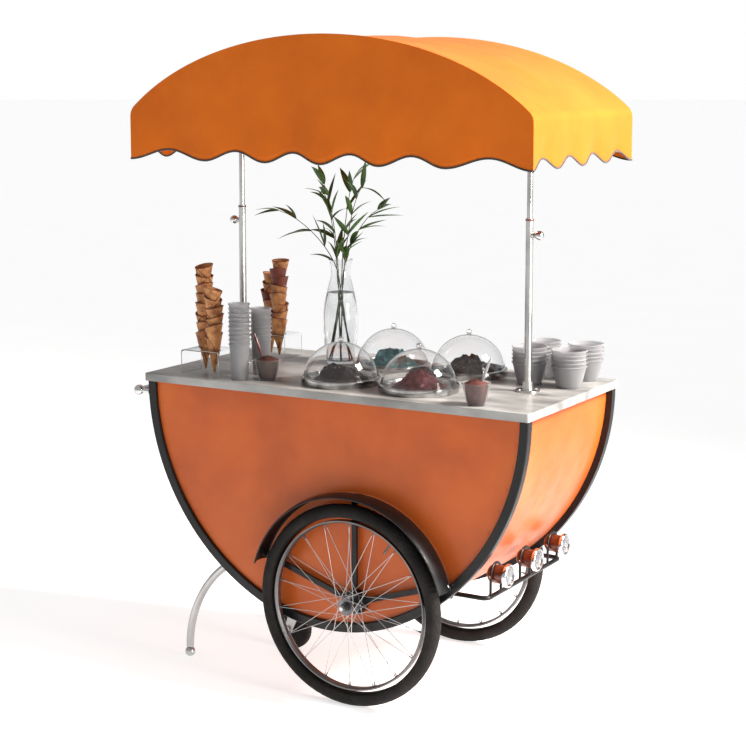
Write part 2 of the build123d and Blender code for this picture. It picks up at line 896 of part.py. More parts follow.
class BowlFace(BaseSketchObject):
    """Half section of a lamp's bowl: sketch X is forward, sketch Y is radius."""

    def __init__(self, mode=Mode.ADD):
        front = lamp_body_front
        back = -lamp_body_back
        bend = back + lamp_bowl_depth
        outer = lamp_body_radius
        inner = outer - lamp_wall
        with BuildSketch() as face:
            with BuildLine():
                Polyline((front, inner), (front, outer), (-lamp_shoulder, outer))
                ThreePointArc((-lamp_shoulder, outer), (bend, lamp_bowl_radius), (back, lamp_tail_radius))
                Polyline(
                    (back, lamp_tail_radius), (back, 0), (back + lamp_wall, 0),
                    (back + lamp_wall, lamp_tail_radius - lamp_wall),
                )
                ThreePointArc(
                    (back + lamp_wall, lamp_tail_radius - lamp_wall),
                    (bend + lamp_wall, lamp_bowl_radius - lamp_wall), (-lamp_shoulder, inner),
                )
                Line((-lamp_shoulder, inner), (front, inner))
            make_face()
        super().__init__(obj=face.sketch, rotation=0, align=None, mode=mode)


def make_lamp_housing(name, y):
    """A lamp's bowl with its two tilt pins and its bulb."""
    pin_root = lamp_body_radius - lamp_wall / 2
    bulb_x = rack_x - lamp_body_back + lamp_wall + curved_gap
    with BuildPart() as housing:
        with BuildSketch(Plane((rack_x, y, hoop_centre_z), x_dir=(1, 0, 0), z_dir=(0, -1, 0))):
            BowlFace()
        revolve(axis=Axis((rack_x, y, hoop_centre_z), (1, 0, 0)))
        for side in (-1, 1):
            with BuildSketch(Plane((rack_x, y + side * pin_root, hoop_centre_z), z_dir=(0, side, 0))):
                Circle(lamp_pin_radius)
            extrude(amount=hoop_half + hoop_tube + lamp_pin_head - pin_root)
        with BuildSketch(Plane((bulb_x, y, hoop_centre_z), z_dir=(1, 0, 0))):
            Circle(bulb_radius)
        extrude(amount=bulb_length)
    keep(housing, f"{name}_housing")


def make_lamp_front(name, y):
    """A lamp's rim ring and lens."""
    ring_x = rack_x + lamp_body_front + running_fit
    inside = lamp_body_radius - lamp_wall
    with BuildPart() as bezel:
        with BuildSketch(Plane((ring_x, y, hoop_centre_z), z_dir=(1, 0, 0))):
            Circle(lamp_ring_radius)
            Circle(inside, mode=Mode.SUBTRACT)
        extrude(amount=lamp_ring_thick)
        fillet(bezel.edges().filter_by(GeomType.CIRCLE).group_by(Axis.X)[-1], lamp_ring_round)
        with BuildSketch(Plane((ring_x + lamp_ring_thick / 2, y, hoop_centre_z), z_dir=(1, 0, 0))):
            Circle(inside - running_fit)
        extrude(amount=lamp_lens_thick)
    keep(bezel, f"{name}_front")


# ---------------------------------------------------------------- push handle
def make_handle():
    root = hull_half_at(handle_z, 0)
    middle = (rim_face + rim_back) / 2
    with BuildPart() as handle:
        with Locations(Location((-handle_x, 0, handle_z), (90, 0, 0))):
            Cylinder(handle_tube, 2 * middle)
        for side in (-1, 1):
            with Locations((-handle_x, side * middle, handle_z)):
                Sphere(handle_ball)
            with BuildSketch(Plane((-handle_x, side * middle, handle_z), z_dir=(1, 0, 0))):
                Circle(handle_post)
            extrude(amount=handle_x - root - running_fit)
            with BuildSketch(Plane((-root - handle_foot_sink, side * middle, handle_z), z_dir=(1, 0, 0))):
                Circle(rim_depth / 2)
            extrude(amount=handle_foot_thick)
        with BuildSketch(side_plane(1, 2 * rim_face)):
            HullFace(-running_fit)
        extrude(amount=-4 * rim_face, mode=Mode.SUBTRACT)
    keep(handle, "push_handle")


# ---------------------------------------------------------------- canopy poles
def make_flanges():
    with BuildPart() as flanges:
        for end in (-1, 1):
            with BuildSketch(Plane.XY.offset(counter_height)):
                with Locations((end * pole_x, 0)):
                    Circle(flange_radius)
            extrude(amount=flange_thick)
            with BuildSketch(Plane.XY.offset(counter_height)):
                with Locations((end * pole_x, 0)):
                    Circle(collar_radius)
            extrude(amount=collar_height)
            with BuildSketch(Plane.XY.offset(counter_height)):
                with Locations((end * pole_x, 0)):
                    Circle(lower_pole_radius + running_fit)
            extrude(amount=collar_height, mode=Mode.SUBTRACT)
            with Locations((end * pole_x, 0, counter_height + flange_thick)):
                with PolarLocations(flange_screw_circle, 4, start_angle=45):
                    Cylinder(
                        flange_screw_radius, flange_screw_head,
                        align=(Align.CENTER, Align.CENTER, Align.MIN),
                    )
    keep(flanges, "pole_flanges")


def make_lower_poles():
    with BuildPart() as poles:
        for end in (-1, 1):
            with BuildSketch(Plane.XY.offset(counter_height)):
                with Locations((end * pole_x, 0)):
                    Circle(lower_pole_radius)
            extrude(amount=lower_pole_top - counter_height)
            with BuildSketch(Plane((end * pole_x, 0, clamp_z), z_dir=(end, 0, 0))):
                Circle(clamp_boss_radius)
            extrude(amount=clamp_boss_reach)
            with BuildSketch(Plane.XY.offset(counter_height)):
                with Locations((end * pole_x, 0)):
                    Circle(upper_pole_radius + running_fit)
            extrude(amount=lower_pole_top - counter_height, mode=Mode.SUBTRACT)
            with BuildSketch(Plane((end * pole_x, 0, clamp_z), z_dir=(end, 0, 0))):
                Circle(clamp_screw_radius + running_fit)
            extrude(amount=2 * clamp_boss_reach, mode=Mode.SUBTRACT)
            with BuildSketch(Plane.XY.offset(lower_pole_top + running_fit)):
                with Locations((end * pole_x, 0)):
                    Circle(lower_pole_radius + bush_lip)
                    Circle(upper_pole_radius + curved_gap, mode=Mode.SUBTRACT)
            extrude(amount=bush_height)
    keep(poles, "lower_poles")


def make_clamp_knob(name, end):
    with BuildPart() as knob:
        with BuildSketch(Plane((end * (pole_x + clamp_tip), 0, clamp_z), z_dir=(end, 0, 0))):
            Circle(clamp_screw_radius)
        extrude(amount=clamp_ball_reach - clamp_tip)
        with Locations((end * (pole_x + clamp_ball_reach), 0, clamp_z)):
            Sphere(clamp_ball_radius)
        with BuildSketch(Plane((end * pole_x, 0, clamp_z), z_dir=(end, 0, 0))):
            Circle(2 * clamp_ball_radius)
            Circle(clamp_screw_radius, mode=Mode.SUBTRACT)
        extrude(amount=clamp_boss_reach + assembly_gap, mode=Mode.SUBTRACT)
    keep(knob, f"{name}_clamp_knob")


def make_upper_poles():
    top = canopy_arc_at(pole_x, bow_inset)
    foot = lower_pole_top - pole_overlap
    with BuildPart() as poles:
        for end in (-1, 1):
            with BuildSketch(Plane.XY.offset(foot)):
                with Locations((end * pole_x, 0)):
                    Circle(upper_pole_radius)
                    Circle(upper_pole_radius - upper_pole_wall, mode=Mode.SUBTRACT)
            extrude(amount=top - bow_tube - socket_floor - foot)
    keep(poles, "upper_poles")


# ---------------------------------------------------------------- canopy
def make_canopy_frame():
    long_radius = canopy_arc_length - bow_inset
    high_radius = canopy_arc_height - bow_inset
    half = canopy_half_length - 2 * bow_inset
    shoulder = canopy_arc_at(half, bow_inset)
    angle = degrees(atan2((shoulder - canopy_arc_z) / high_radius, half / long_radius))
    reach = canopy_half_width - bow_inset
    top = canopy_arc_at(pole_x, bow_inset)
    with BuildPart() as frame:
        for y in (-reach, 0, reach):
            with BuildLine(Plane.XZ.offset(y)) as path:
                EllipticalCenterArc(
                    (0, canopy_arc_z), long_radius, high_radius,
                    start_angle=angle, arc_size=180 - 2 * angle,
                )
            arc = path.edges()[0]
            with BuildSketch(Plane(arc @ 0, z_dir=arc % 0)):
                Circle(bow_tube)
            sweep(path=arc)
        for x in purlin_x:
            with Locations(Location((x, 0, canopy_arc_at(x, bow_inset)), (90, 0, 0))):
                Cylinder(purlin_radius, 2 * reach)
        for end in (-1, 1):
            with BuildSketch(Plane.XY.offset(top - socket_length)):
                with Locations((end * pole_x, 0)):
                    Circle(socket_radius)
            extrude(amount=socket_length)
            with BuildSketch(Plane.XY.offset(top - socket_length)):
                with Locations((end * pole_x, 0)):
                    Circle(upper_pole_radius + running_fit)
            extrude(amount=socket_length - bow_tube - socket_floor, mode=Mode.SUBTRACT)
    keep(frame, "canopy_frame")


def make_canopy_cover():
    with BuildPart() as cover:
        with BuildSketch(side_plane(1, canopy_half_width)):
            CanopyFace(0, canopy_hem)
        extrude(amount=-2 * canopy_half_width)
        with BuildSketch(side_plane(1, canopy_half_width - canopy_cloth)):
            CanopyFace(canopy_cloth, canopy_hem - canopy_cloth)
        extrude(amount=-2 * (canopy_half_width - canopy_cloth), mode=Mode.SUBTRACT)
    keep(cover, "canopy_cover")


# ---------------------------------------------------------------- serving set
def make_trays():
    """Round trays: a thin floor in a turned rim whose flat top seats a domed lid."""
    ledge = tray_radius - tray_ledge
    floor = ledge - tray_slope
    with BuildPart() as trays:
        for x, y in tray_positions:
            with BuildSketch(turning_plane(x, y, counter_height)):
                with BuildLine():
                    Polyline(
                        (0, 0), (tray_radius, 0), (tray_radius, tray_height), (ledge, tray_height),
                        (floor, tray_floor), (0, tray_floor), (0, 0),
                    )
                make_face()
            revolve(axis=turning_axis(x, y))
    keep(trays, "serving_trays")


def cap_arc(radius, height):
    """Quarter section of a spherical cap, from its rim up to the axis."""
    sphere = (radius**2 + height**2) / (2 * height)
    start = degrees(atan2(sphere - height, radius))
    return CenterArc((0, height - sphere), sphere, start, 90 - start)


def make_dome(number, x, y):
    """A clear domed lid: a round cap with a ball knob on its crown."""
    base = counter_height + tray_height + running_fit
    inner_radius = dome_radius - dome_wall
    inner_height = dome_height - dome_wall
    with BuildPart() as dome:
        with BuildSketch(turning_plane(x, y, base)):
            with BuildLine():
                cap_arc(dome_radius, dome_height)
                Line((0, dome_height), (0, inner_height))
                cap_arc(inner_radius, inner_height)
                Line((inner_radius, 0), (dome_radius, 0))
            make_face()
        revolve(axis=turning_axis(x, y))
        with Locations((x, y, base + dome_height - dome_wall / 2)):
            Cylinder(dome_stem_radius, dome_knob_stem, align=(Align.CENTER, Align.CENTER, Align.MIN))
        with Locations((x, y, base + dome_height + dome_knob_stem)):
            Sphere(dome_knob_radius)
    keep(dome, f"dome_lid_{number}")


def make_gelato():
    base = counter_height + tray_floor + running_fit
    with BuildPart() as gelato:
        for x, y in tray_positions:
            with BuildSketch(turning_plane(x, y, base)):
                with BuildLine():
                    cap_arc(gelato_radius, gelato_height)
                    Line((0, gelato_height), (0, 0))
                    Line((0, 0), (gelato_radius, 0))
                make_face()
            revolve(axis=turning_axis(x, y))
    keep(gelato, "gelato")


def make_cone_holders():
    with BuildPart() as holders:
        for spot in holder_spots:
            with BuildSketch(Plane.XY.offset(counter_height)):
                with Locations(spot):
                    Rectangle(holder_size, holder_depth)
            extrude(amount=holder_height)
            with BuildSketch(Plane.XZ.offset(-spot[1] + holder_depth)):
                with Locations((spot[0], counter_height + holder_height / 2)):
                    Rectangle(holder_size - 2 * holder_wall, holder_height - 2 * holder_wall)
            extrude(amount=-2 * holder_depth, mode=Mode.SUBTRACT)
        with BuildSketch(Plane.XY.offset(counter_height + holder_height / 2)):
            for x, y, _ in cone_spots:
                with Locations((x, y)):
                    Circle(cone_hole_radius)
        extrude(amount=holder_height, mode=Mode.SUBTRACT)
    keep(holders, "cone_holders")


def make_cones():
    foot = counter_height + holder_wall + running_fit
    with BuildPart() as cones:
        for x, y, height in cone_spots:
            with BuildSketch(Plane.XY.offset(foot)):
                with Locations((x, y)):
                    Circle(cone_foot_radius)
            with BuildSketch(Plane.XY.offset(foot + holder_height)):
                with Locations((x, y)):
                    Circle(cone_waist_radius)
            loft()
            with BuildSketch(Plane.XY.offset(foot + holder_height)):
                with Locations((x, y)):
                    Circle(cone_waist_radius)
            with BuildSketch(Plane.XY.offset(foot + height)):
                with Locations((x, y)):
                    Circle(cone_top_radius)
            loft()
    keep(cones, "cone_stacks")


def stack_points(foot_radius, top_radius, single, step, count):
    """Half section of a nested stack of cups: a column with an open cup in its top."""
    lift = step * (count - 1)
    mouth = top_radius - cup_wall
    foot = foot_radius - cup_wall
    return (
        (0, 0), (foot_radius, 0), (top_radius, single), (top_radius, single + lift),
        (mouth, single + lift), (foot, lift + cup_wall), (0, lift + cup_wall), (0, 0),
    )


def make_cups():
    with BuildPart() as cups:
        for x, y, count in cup_spots:
            with BuildSketch(turning_plane(x, y, counter_height)):
                with BuildLine():
                    Polyline(*stack_points(cup_foot_radius, cup_top_radius, cup_height, cup_step, count))
                make_face()
            revolve(axis=turning_axis(x, y))
        for x, y, count in tall_cup_spots:
            points = stack_points(
                tall_cup_foot_radius, tall_cup_radius, tall_cup_height, tall_cup_step, count
            )
            with BuildSketch(turning_plane(x, y, counter_height)):
                with BuildLine():
                    Polyline(*points)
                make_face()
            revolve(axis=turning_axis(x, y))
    keep(cups, "cup_stacks")


def make_filled_cups():
    with BuildPart() as cups:
        for x, y in filled_cup_spots:
            with BuildSketch(Plane.XY.offset(counter_height)):
                with Locations((x, y)):
                    Circle(filled_cup_foot_radius)
            with BuildSketch(Plane.XY.offset(counter_height + filled_cup_height)):
                with Locations((x, y)):
                    Circle(filled_cup_radius)
            loft()
    keep(cups, "filled_cups")


def make_vase():
    x, y = vase_spot
    foot = vase_foot - vase_wall
    belly = vase_belly - vase_wall
    neck = vase_neck - vase_wall
    mouth = vase_mouth - vase_wall
    with BuildPart() as vase:
        with BuildSketch(turning_plane(x, y, counter_height)):
            with BuildLine():
                Line((0, 0), (vase_foot, 0))
                Spline(
                    (vase_foot, 0), (vase_belly, vase_belly_z), (vase_neck, vase_neck_z),
                    (vase_mouth, vase_height),
                )
                Line((vase_mouth, vase_height), (mouth, vase_height))
                Spline((mouth, vase_height), (neck, vase_neck_z), (belly, vase_belly_z), (foot, vase_floor))
                Polyline((foot, vase_floor), (0, vase_floor), (0, 0))
            make_face()
        revolve(axis=turning_axis(x, y))
    keep(vase, "vase")


make_counter()
make_panel("right", 1, False)
make_panel("left", -1, True)
make_ledges()
make_panel_screws()
make_wrap()
make_top_frame()
make_floor()
make_door("nose", 1)
make_door("tail", -1)
make_door_pins()
for side_name, side_sign in SIDES.items():
    make_rim(side_name, side_sign)
    make_tyre(side_name, side_sign)
    make_wheel_rim(side_name, side_sign)
    make_hub(side_name, side_sign)
    make_spokes(side_name, side_sign)
    make_fender(side_name, side_sign)
make_axle()
make_axle_nuts()
make_stays()
make_stand()
make_feet()
make_stand_blocks()
make_caster_post()
make_caster_fork()
make_caster_wheel()
make_caster_axle()
make_lamp_rack()
make_hoops()
for lamp_index, lamp_name in ((-1, "lamp_right"), (0, "lamp_middle"), (1, "lamp_left")):
    make_lamp_housing(lamp_name, lamp_index * lamp_pitch)
    make_lamp_front(lamp_name, lamp_index * lamp_pitch)
make_handle()
make_flanges()
make_lower_poles()
make_clamp_knob("nose", 1)
make_clamp_knob("tail", -1)
make_upper_poles()
make_canopy_frame()
make_canopy_cover()
make_trays()
for tray_number, (tray_x, tray_y) in enumerate(tray_positions, start=1):
    make_dome(tray_number, tray_x, tray_y)
make_gelato()
make_cone_holders()
make_cones()
make_cups()
make_filled_cups()
make_vase()
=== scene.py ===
"""Looks of the push vending cart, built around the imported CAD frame. Metres, +Z up."""
import bpy
import bmesh
import math
import random
from mathutils import Matrix, Vector, noise


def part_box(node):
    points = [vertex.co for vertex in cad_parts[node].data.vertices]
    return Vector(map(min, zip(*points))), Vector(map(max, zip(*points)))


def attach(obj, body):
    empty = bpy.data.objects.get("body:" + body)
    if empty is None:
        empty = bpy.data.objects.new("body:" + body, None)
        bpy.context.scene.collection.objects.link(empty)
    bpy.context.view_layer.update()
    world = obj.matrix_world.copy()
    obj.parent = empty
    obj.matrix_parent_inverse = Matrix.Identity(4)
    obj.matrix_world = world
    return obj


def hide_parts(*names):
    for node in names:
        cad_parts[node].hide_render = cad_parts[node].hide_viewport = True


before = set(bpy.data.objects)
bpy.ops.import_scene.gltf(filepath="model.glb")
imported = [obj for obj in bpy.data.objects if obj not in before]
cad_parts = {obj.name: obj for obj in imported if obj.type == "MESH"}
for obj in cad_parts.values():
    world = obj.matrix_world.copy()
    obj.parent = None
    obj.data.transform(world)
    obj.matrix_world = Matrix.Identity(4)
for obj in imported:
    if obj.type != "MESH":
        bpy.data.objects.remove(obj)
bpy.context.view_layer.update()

# ------------------------------------------------------------------ places from the frame
def middle(node):
    """Centre of a CAD node's box."""
    lo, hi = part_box(node)
    return (lo + hi) / 2


COUNTER_LO, COUNTER_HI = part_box("counter_top")
COUNTER_TOP = COUNTER_HI.z
CENTRE_X = middle("counter_top").x
CANOPY_LO, CANOPY_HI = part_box("canopy_cover")
ISLAND_GAP = 1e-4


def islands(node):
    """Vertex groups of a CAD node that aren't joined to each other, as lists of points."""
    mesh = bmesh.new()
    mesh.from_mesh(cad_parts[node].data)
    bmesh.ops.remove_doubles(mesh, verts=mesh.verts, dist=ISLAND_GAP)
    left, found = set(mesh.verts), []
    while left:
        edge, group = [left.pop()], []
        while edge:
            vert = edge.pop()
            group.append(vert.co.copy())
            for link in vert.link_edges:
                other = link.other_vert(vert)
                if other in left:
                    left.discard(other)
                    edge.append(other)
        found.append(group)
    mesh.free()
    return found


def island_boxes(node):
    """(low, high) of each separate solid of a CAD node."""
    boxes = []
    for points in islands(node):
        lo = Vector([min(p[i] for p in points) for i in range(3)])
        hi = Vector([max(p[i] for p in points) for i in range(3)])
        boxes.append((lo, hi))
    return boxes


# ------------------------------------------------------------------ materials
def new_material(name):
    mat = bpy.data.materials.new(name)
    mat.use_nodes = True
    return mat, mat.node_tree.nodes, mat.node_tree.links, mat.node_tree.nodes["Principled BSDF"]


def coordinates(nodes, links, stretch):
    """Object coordinates, scaled on each axis."""
    coord = nodes.new("ShaderNodeTexCoord")
    mapping = nodes.new("ShaderNodeMapping")
    mapping.inputs["Scale"].default_value = stretch
    links.new(coord.outputs["Object"], mapping.inputs["Vector"])
    return mapping.outputs["Vector"]


def noise_node(nodes, links, vector, scale, detail=4, rough=0.5):
    node = nodes.new("ShaderNodeTexNoise")
    node.inputs["Scale"].default_value = scale
    node.inputs["Detail"].default_value = detail
    node.inputs["Roughness"].default_value = rough
    links.new(vector, node.inputs["Vector"])
    return node.outputs["Fac"]


def ramp(nodes, links, fac, stops):
    """A colour ramp; stops are (position, (r, g, b))."""
    node = nodes.new("ShaderNodeValToRGB")
    while len(node.color_ramp.elements) < len(stops):
        node.color_ramp.elements.new(0.5)
    for element, (position, colour) in zip(node.color_ramp.elements, stops):
        element.position = position
        element.color = (*colour, 1)
    links.new(fac, node.inputs["Fac"])
    return node.outputs["Color"]


def shades(dark, light):
    """Stops of a ramp from dark to light."""
    return [(0.3, dark), (0.7, light)]


def remap(nodes, links, value, low, high, start=0.3, stop=0.7):
    node = nodes.new("ShaderNodeMapRange")
    node.inputs["From Min"].default_value = start
    node.inputs["From Max"].default_value = stop
    node.inputs["To Min"].default_value = low
    node.inputs["To Max"].default_value = high
    links.new(value, node.inputs["Value"])
    return node.outputs["Result"]


def add_bump(nodes, links, shader, height, strength, distance):
    node = nodes.new("ShaderNodeBump")
    node.inputs["Strength"].default_value = strength
    node.inputs["Distance"].default_value = distance
    links.new(height, node.inputs["Height"])
    links.new(node.outputs["Normal"], shader.inputs["Normal"])
    return node


def surface(name, stops, scale=8, stretch=(1, 1, 1), rough=(0.3, 0.5), metal=0.0, detail=5,
            bump=(0.1, 0.001, 60), coat=0.0, sheen=0.0, specular=0.5):
    """A painted, metal or plain surface: mottled colour, uneven gloss and a fine relief."""
    mat, nodes, links, shader = new_material(name)
    vector = coordinates(nodes, links, stretch)
    tone = noise_node(nodes, links, vector, scale, detail)
    links.new(ramp(nodes, links, tone, stops), shader.inputs["Base Color"])
    patch = noise_node(nodes, links, vector, scale * 2.7, 3)
    links.new(remap(nodes, links, patch, rough[0], rough[1]), shader.inputs["Roughness"])
    shader.inputs["Metallic"].default_value = metal
    shader.inputs["Coat Weight"].default_value = coat
    shader.inputs["Coat Roughness"].default_value = 0.12
    shader.inputs["Sheen Weight"].default_value = sheen
    shader.inputs["Specular IOR Level"].default_value = specular
    strength, distance, fine = bump
    add_bump(nodes, links, shader, noise_node(nodes, links, vector, fine, 4), strength, distance)
    return mat


def clear(name, colour, rough=(0.02, 0.08), ior=1.45, transmission=1.0, scale=20):
    """Clear or frosted glass and plastic, with a faint unevenness in its gloss."""
    mat, nodes, links, shader = new_material(name)
    vector = coordinates(nodes, links, (1, 1, 1))
    tone = noise_node(nodes, links, vector, scale, 3)
    links.new(remap(nodes, links, tone, rough[0], rough[1]), shader.inputs["Roughness"])
    edge = [max(0, c - 0.04) for c in colour]
    links.new(ramp(nodes, links, tone, shades(edge, colour)), shader.inputs["Base Color"])
    shader.inputs["Transmission Weight"].default_value = transmission
    shader.inputs["IOR"].default_value = ior
    return mat


def canvas_material():
    """Orange canvas: mottled tone, a woven relief and soft folds."""
    mat, nodes, links, shader = new_material("orange_canvas")
    vector = coordinates(nodes, links, (1, 1, 1))
    tone = noise_node(nodes, links, vector, 5, 6, 0.6)
    stops = [(0.25, (0.53, 0.108, 0.005)), (0.55, (0.62, 0.132, 0.007)), (0.8, (0.68, 0.155, 0.010))]
    links.new(ramp(nodes, links, tone, stops), shader.inputs["Base Color"])
    shader.inputs["Roughness"].default_value = 0.78
    shader.inputs["Sheen Weight"].default_value = 0.06
    shader.inputs["Specular IOR Level"].default_value = 0.15
    shader.inputs["Sheen Roughness"].default_value = 0.5
    waves = []
    for axis in ("X", "Z"):
        wave = nodes.new("ShaderNodeTexWave")
        wave.bands_direction = axis
        wave.inputs["Scale"].default_value = 190
        wave.inputs["Distortion"].default_value = 0.6
        wave.inputs["Detail"].default_value = 1
        links.new(vector, wave.inputs["Vector"])
        waves.append(wave.outputs["Fac"])
    mix = nodes.new("ShaderNodeMath")
    mix.operation = "MAXIMUM"
    links.new(waves[0], mix.inputs[0])
    links.new(waves[1], mix.inputs[1])
    weave = add_bump(nodes, links, shader, mix.outputs[0], 0.25, 0.0006)
    soft = nodes.new("ShaderNodeBump")
    soft.inputs["Strength"].default_value = 0.35
    soft.inputs["Distance"].default_value = 0.006
    folds = coordinates(nodes, links, (1.0, 6.0, 1.0))
    links.new(noise_node(nodes, links, folds, 4, 3), soft.inputs["Height"])
    links.new(soft.outputs["Normal"], weave.inputs["Normal"])
    return mat


def wafer_material(name, dark, light):
    """Baked wafer: mottled brown with a pressed grid of nearly square cells."""
    mat, nodes, links, shader = new_material(name)
    vector = coordinates(nodes, links, (1, 1, 1))
    tone = noise_node(nodes, links, vector, 45, 5)
    links.new(ramp(nodes, links, tone, shades(dark, light)), shader.inputs["Base Color"])
    shader.inputs["Roughness"].default_value = 0.62
    grid = nodes.new("ShaderNodeTexVoronoi")
    grid.feature = "DISTANCE_TO_EDGE"
    grid.inputs["Scale"].default_value = 130
    grid.inputs["Randomness"].default_value = 0.15
    links.new(vector, grid.inputs["Vector"])
    add_bump(nodes, links, shader, grid.outputs["Distance"], 0.6, 0.004)
    return mat


BLACK_STOPS = shades((0.004, 0.004, 0.0045), (0.010, 0.010, 0.011))
STEEL_STOPS = shades((0.42, 0.42, 0.42), (0.62, 0.62, 0.61))
CHROME_STOPS = shades((0.62, 0.62, 0.63), (0.75, 0.75, 0.76))


def make_materials():
    orange = [(0.28, (0.42, 0.074, 0.009)), (0.52, (0.52, 0.098, 0.012)), (0.78, (0.58, 0.122, 0.017))]
    stone = [(0.25, (0.13, 0.13, 0.125)), (0.5, (0.29, 0.29, 0.28)), (0.75, (0.46, 0.46, 0.445))]
    made = {
        "orange": surface("orange_paint", orange, 5, rough=(0.34, 0.5), bump=(0.12, 0.0008, 35),
                          coat=0.1, specular=0.35),
        "stone": surface("counter_stone", stone, 8, (0.7, 2.0, 1.6), rough=(0.30, 0.40),
                         detail=9, bump=(0.15, 0.0006, 40)),
        "black": surface("black_paint", BLACK_STOPS, 9, rough=(0.3, 0.46), bump=(0.14, 0.0006, 90),
                         coat=0.06, specular=0.3),
        "steel": surface("brushed_steel", STEEL_STOPS, 14, (1, 1, 0.15), rough=(0.28, 0.42), metal=1,
                         bump=(0.08, 0.0004, 160)),
        "galvanised": surface("galvanised_tube", [(0.3, (0.30, 0.30, 0.30)), (0.5, (0.50, 0.50, 0.49)),
                              (0.75, (0.62, 0.62, 0.60))], 22, (1, 1, 0.35), rough=(0.22, 0.42), metal=1,
                              bump=(0.12, 0.0005, 120)),
        "chrome": surface("polished_chrome", CHROME_STOPS, 10, rough=(0.07, 0.16), metal=1,
                          bump=(0.02, 0.0002, 60)),
        "rim": surface("anodised_rim", shades((0.13, 0.13, 0.133), (0.22, 0.22, 0.223)), 12,
                       rough=(0.36, 0.48), metal=1, bump=(0.04, 0.0003, 150)),
        "spoke": surface("dark_steel", shades((0.10, 0.10, 0.105), (0.20, 0.20, 0.205)), 25,
                         rough=(0.28, 0.42), metal=1, bump=(0.04, 0.0003, 150)),
        "rubber": surface("tyre_rubber", shades((0.006, 0.0055, 0.005), (0.017, 0.0145, 0.0135)), 16,
                          rough=(0.62, 0.8), bump=(0.3, 0.001, 220), specular=0.2),
        # Lamp bowls: a dark red-brown colour, slightly metallic, under a clear coat.
        "red_brown": surface("dark_red_brown_coat", shades((0.075, 0.013, 0.005), (0.15, 0.030, 0.010)), 18,
                          rough=(0.22, 0.34), metal=0.2, bump=(0.05, 0.0004, 90), coat=0.5),
        "tray": surface("tray_steel", [(0.3, (0.16, 0.16, 0.16)), (0.5, (0.38, 0.38, 0.375)),
                        (0.7, (0.60, 0.60, 0.59))], 26, rough=(0.10, 0.24), metal=1, bump=(0.25, 0.0008, 45)),
        "bush": surface("dark_red_bush", shades((0.09, 0.012, 0.01), (0.14, 0.02, 0.016)), 30,
                        rough=(0.4, 0.5), bump=(0.1, 0.0004, 120)),
        "piping": surface("black_piping", shades((0.012, 0.010, 0.009), (0.03, 0.025, 0.022)), 60,
                          rough=(0.7, 0.85), bump=(0.3, 0.0006, 400), sheen=0.3),
        "canvas": canvas_material(),
        "dome": clear("clear_dome", (1, 1, 1), (0.0, 0.03)),
        "acrylic": clear("clear_acrylic", (0.98, 0.985, 0.985), (0.01, 0.05), 1.12),
        "edge": surface("acrylic_edge", shades((0.70, 0.71, 0.71), (0.86, 0.87, 0.87)), 30,
                        rough=(0.2, 0.35), bump=(0.03, 0.0002, 90)),
        "water": clear("vase_water", (0.96, 0.97, 0.97), (0.0, 0.02), 1.33),
        "reflector": surface("lamp_reflector", shades((0.20, 0.20, 0.21), (0.32, 0.32, 0.33)), 20,
                             rough=(0.35, 0.48), metal=0.5, bump=(0.03, 0.0003, 90)),
        "vase": clear("vase_glass", (0.97, 0.98, 0.98), (0.0, 0.02), 1.5),
        "lens": clear("lamp_lens", (0.95, 0.96, 0.98), (0.02, 0.12), 1.5),
        "frosted": clear("frosted_cup", (0.70, 0.70, 0.715), (0.30, 0.42), 1.16, 0.80),
        "clear_cup": clear("clear_cup", (0.97, 0.965, 0.96), (0.04, 0.12), 1.15, 0.97),
        "wafer": wafer_material("wafer_gold", (0.26, 0.080, 0.022), (0.62, 0.29, 0.10)),
        "wafer_dark": wafer_material("wafer_cocoa", (0.11, 0.018, 0.010), (0.21, 0.048, 0.026)),
        "leaf": surface("leaf_green", shades((0.018, 0.052, 0.010), (0.070, 0.140, 0.028)), 12,
                        rough=(0.38, 0.55), bump=(0.2, 0.0005, 120)),
        "twig": surface("twig_brown", shades((0.05, 0.05, 0.015), (0.12, 0.13, 0.04)), 40,
                        rough=(0.5, 0.7), bump=(0.3, 0.0005, 200)),
        "spoon": surface("spoon_plastic", shades((0.11, 0.018, 0.012), (0.17, 0.03, 0.02)), 30,
                         rough=(0.2, 0.3), bump=(0.05, 0.0002, 80)),
        "white_spoon": surface("spoon_clear", shades((0.30, 0.30, 0.31), (0.42, 0.42, 0.43)), 30,
                               rough=(0.2, 0.3), bump=(0.05, 0.0002, 80)),
    }
    flavours = {
        "chocolate": ((0.005, 0.003, 0.003), (0.018, 0.010, 0.009)),
        "berry": ((0.030, 0.003, 0.004), (0.095, 0.009, 0.012)),
        "mint": ((0.010, 0.055, 0.062), (0.045, 0.15, 0.16)),
        "ganache": ((0.030, 0.012, 0.008), (0.085, 0.036, 0.026)),
        "compote": ((0.045, 0.016, 0.014), (0.13, 0.045, 0.040)),
    }
    for name, (dark, light) in flavours.items():
        made[name] = surface(f"gelato_{name}", shades(dark, light), 40, rough=(0.4, 0.6),
                             bump=(0.5, 0.003, 90), specular=0.22)
    return made


MATS = make_materials()

PAINT = {
    "orange": ("right_panel", "left_panel", "wrap_sheet", "nose_door", "tail_door", "panel_screws"),
    "black": ("right_rim", "left_rim", "right_fender", "left_fender", "fender_stays", "lamp_rack",
              "lamp_hoops"),
    "stone": ("counter_top",),
    "steel": ("panel_ledges", "top_frame", "storage_floor", "axle", "stand_blocks", "right_spokes",
              "left_spokes", "caster_post", "caster_fork", "caster_axle", "stand_frame", "stand_feet",
              "canopy_frame", "door_pins"),
    "galvanised": ("lower_poles", "upper_poles", "pole_flanges"),
    "chrome": ("push_handle", "nose_clamp_knob", "tail_clamp_knob"),
    "spoke": ("axle_nuts", "right_hub", "left_hub"),
    "rim": ("right_wheel_rim", "left_wheel_rim"),
    "rubber": ("caster_wheel",),
}


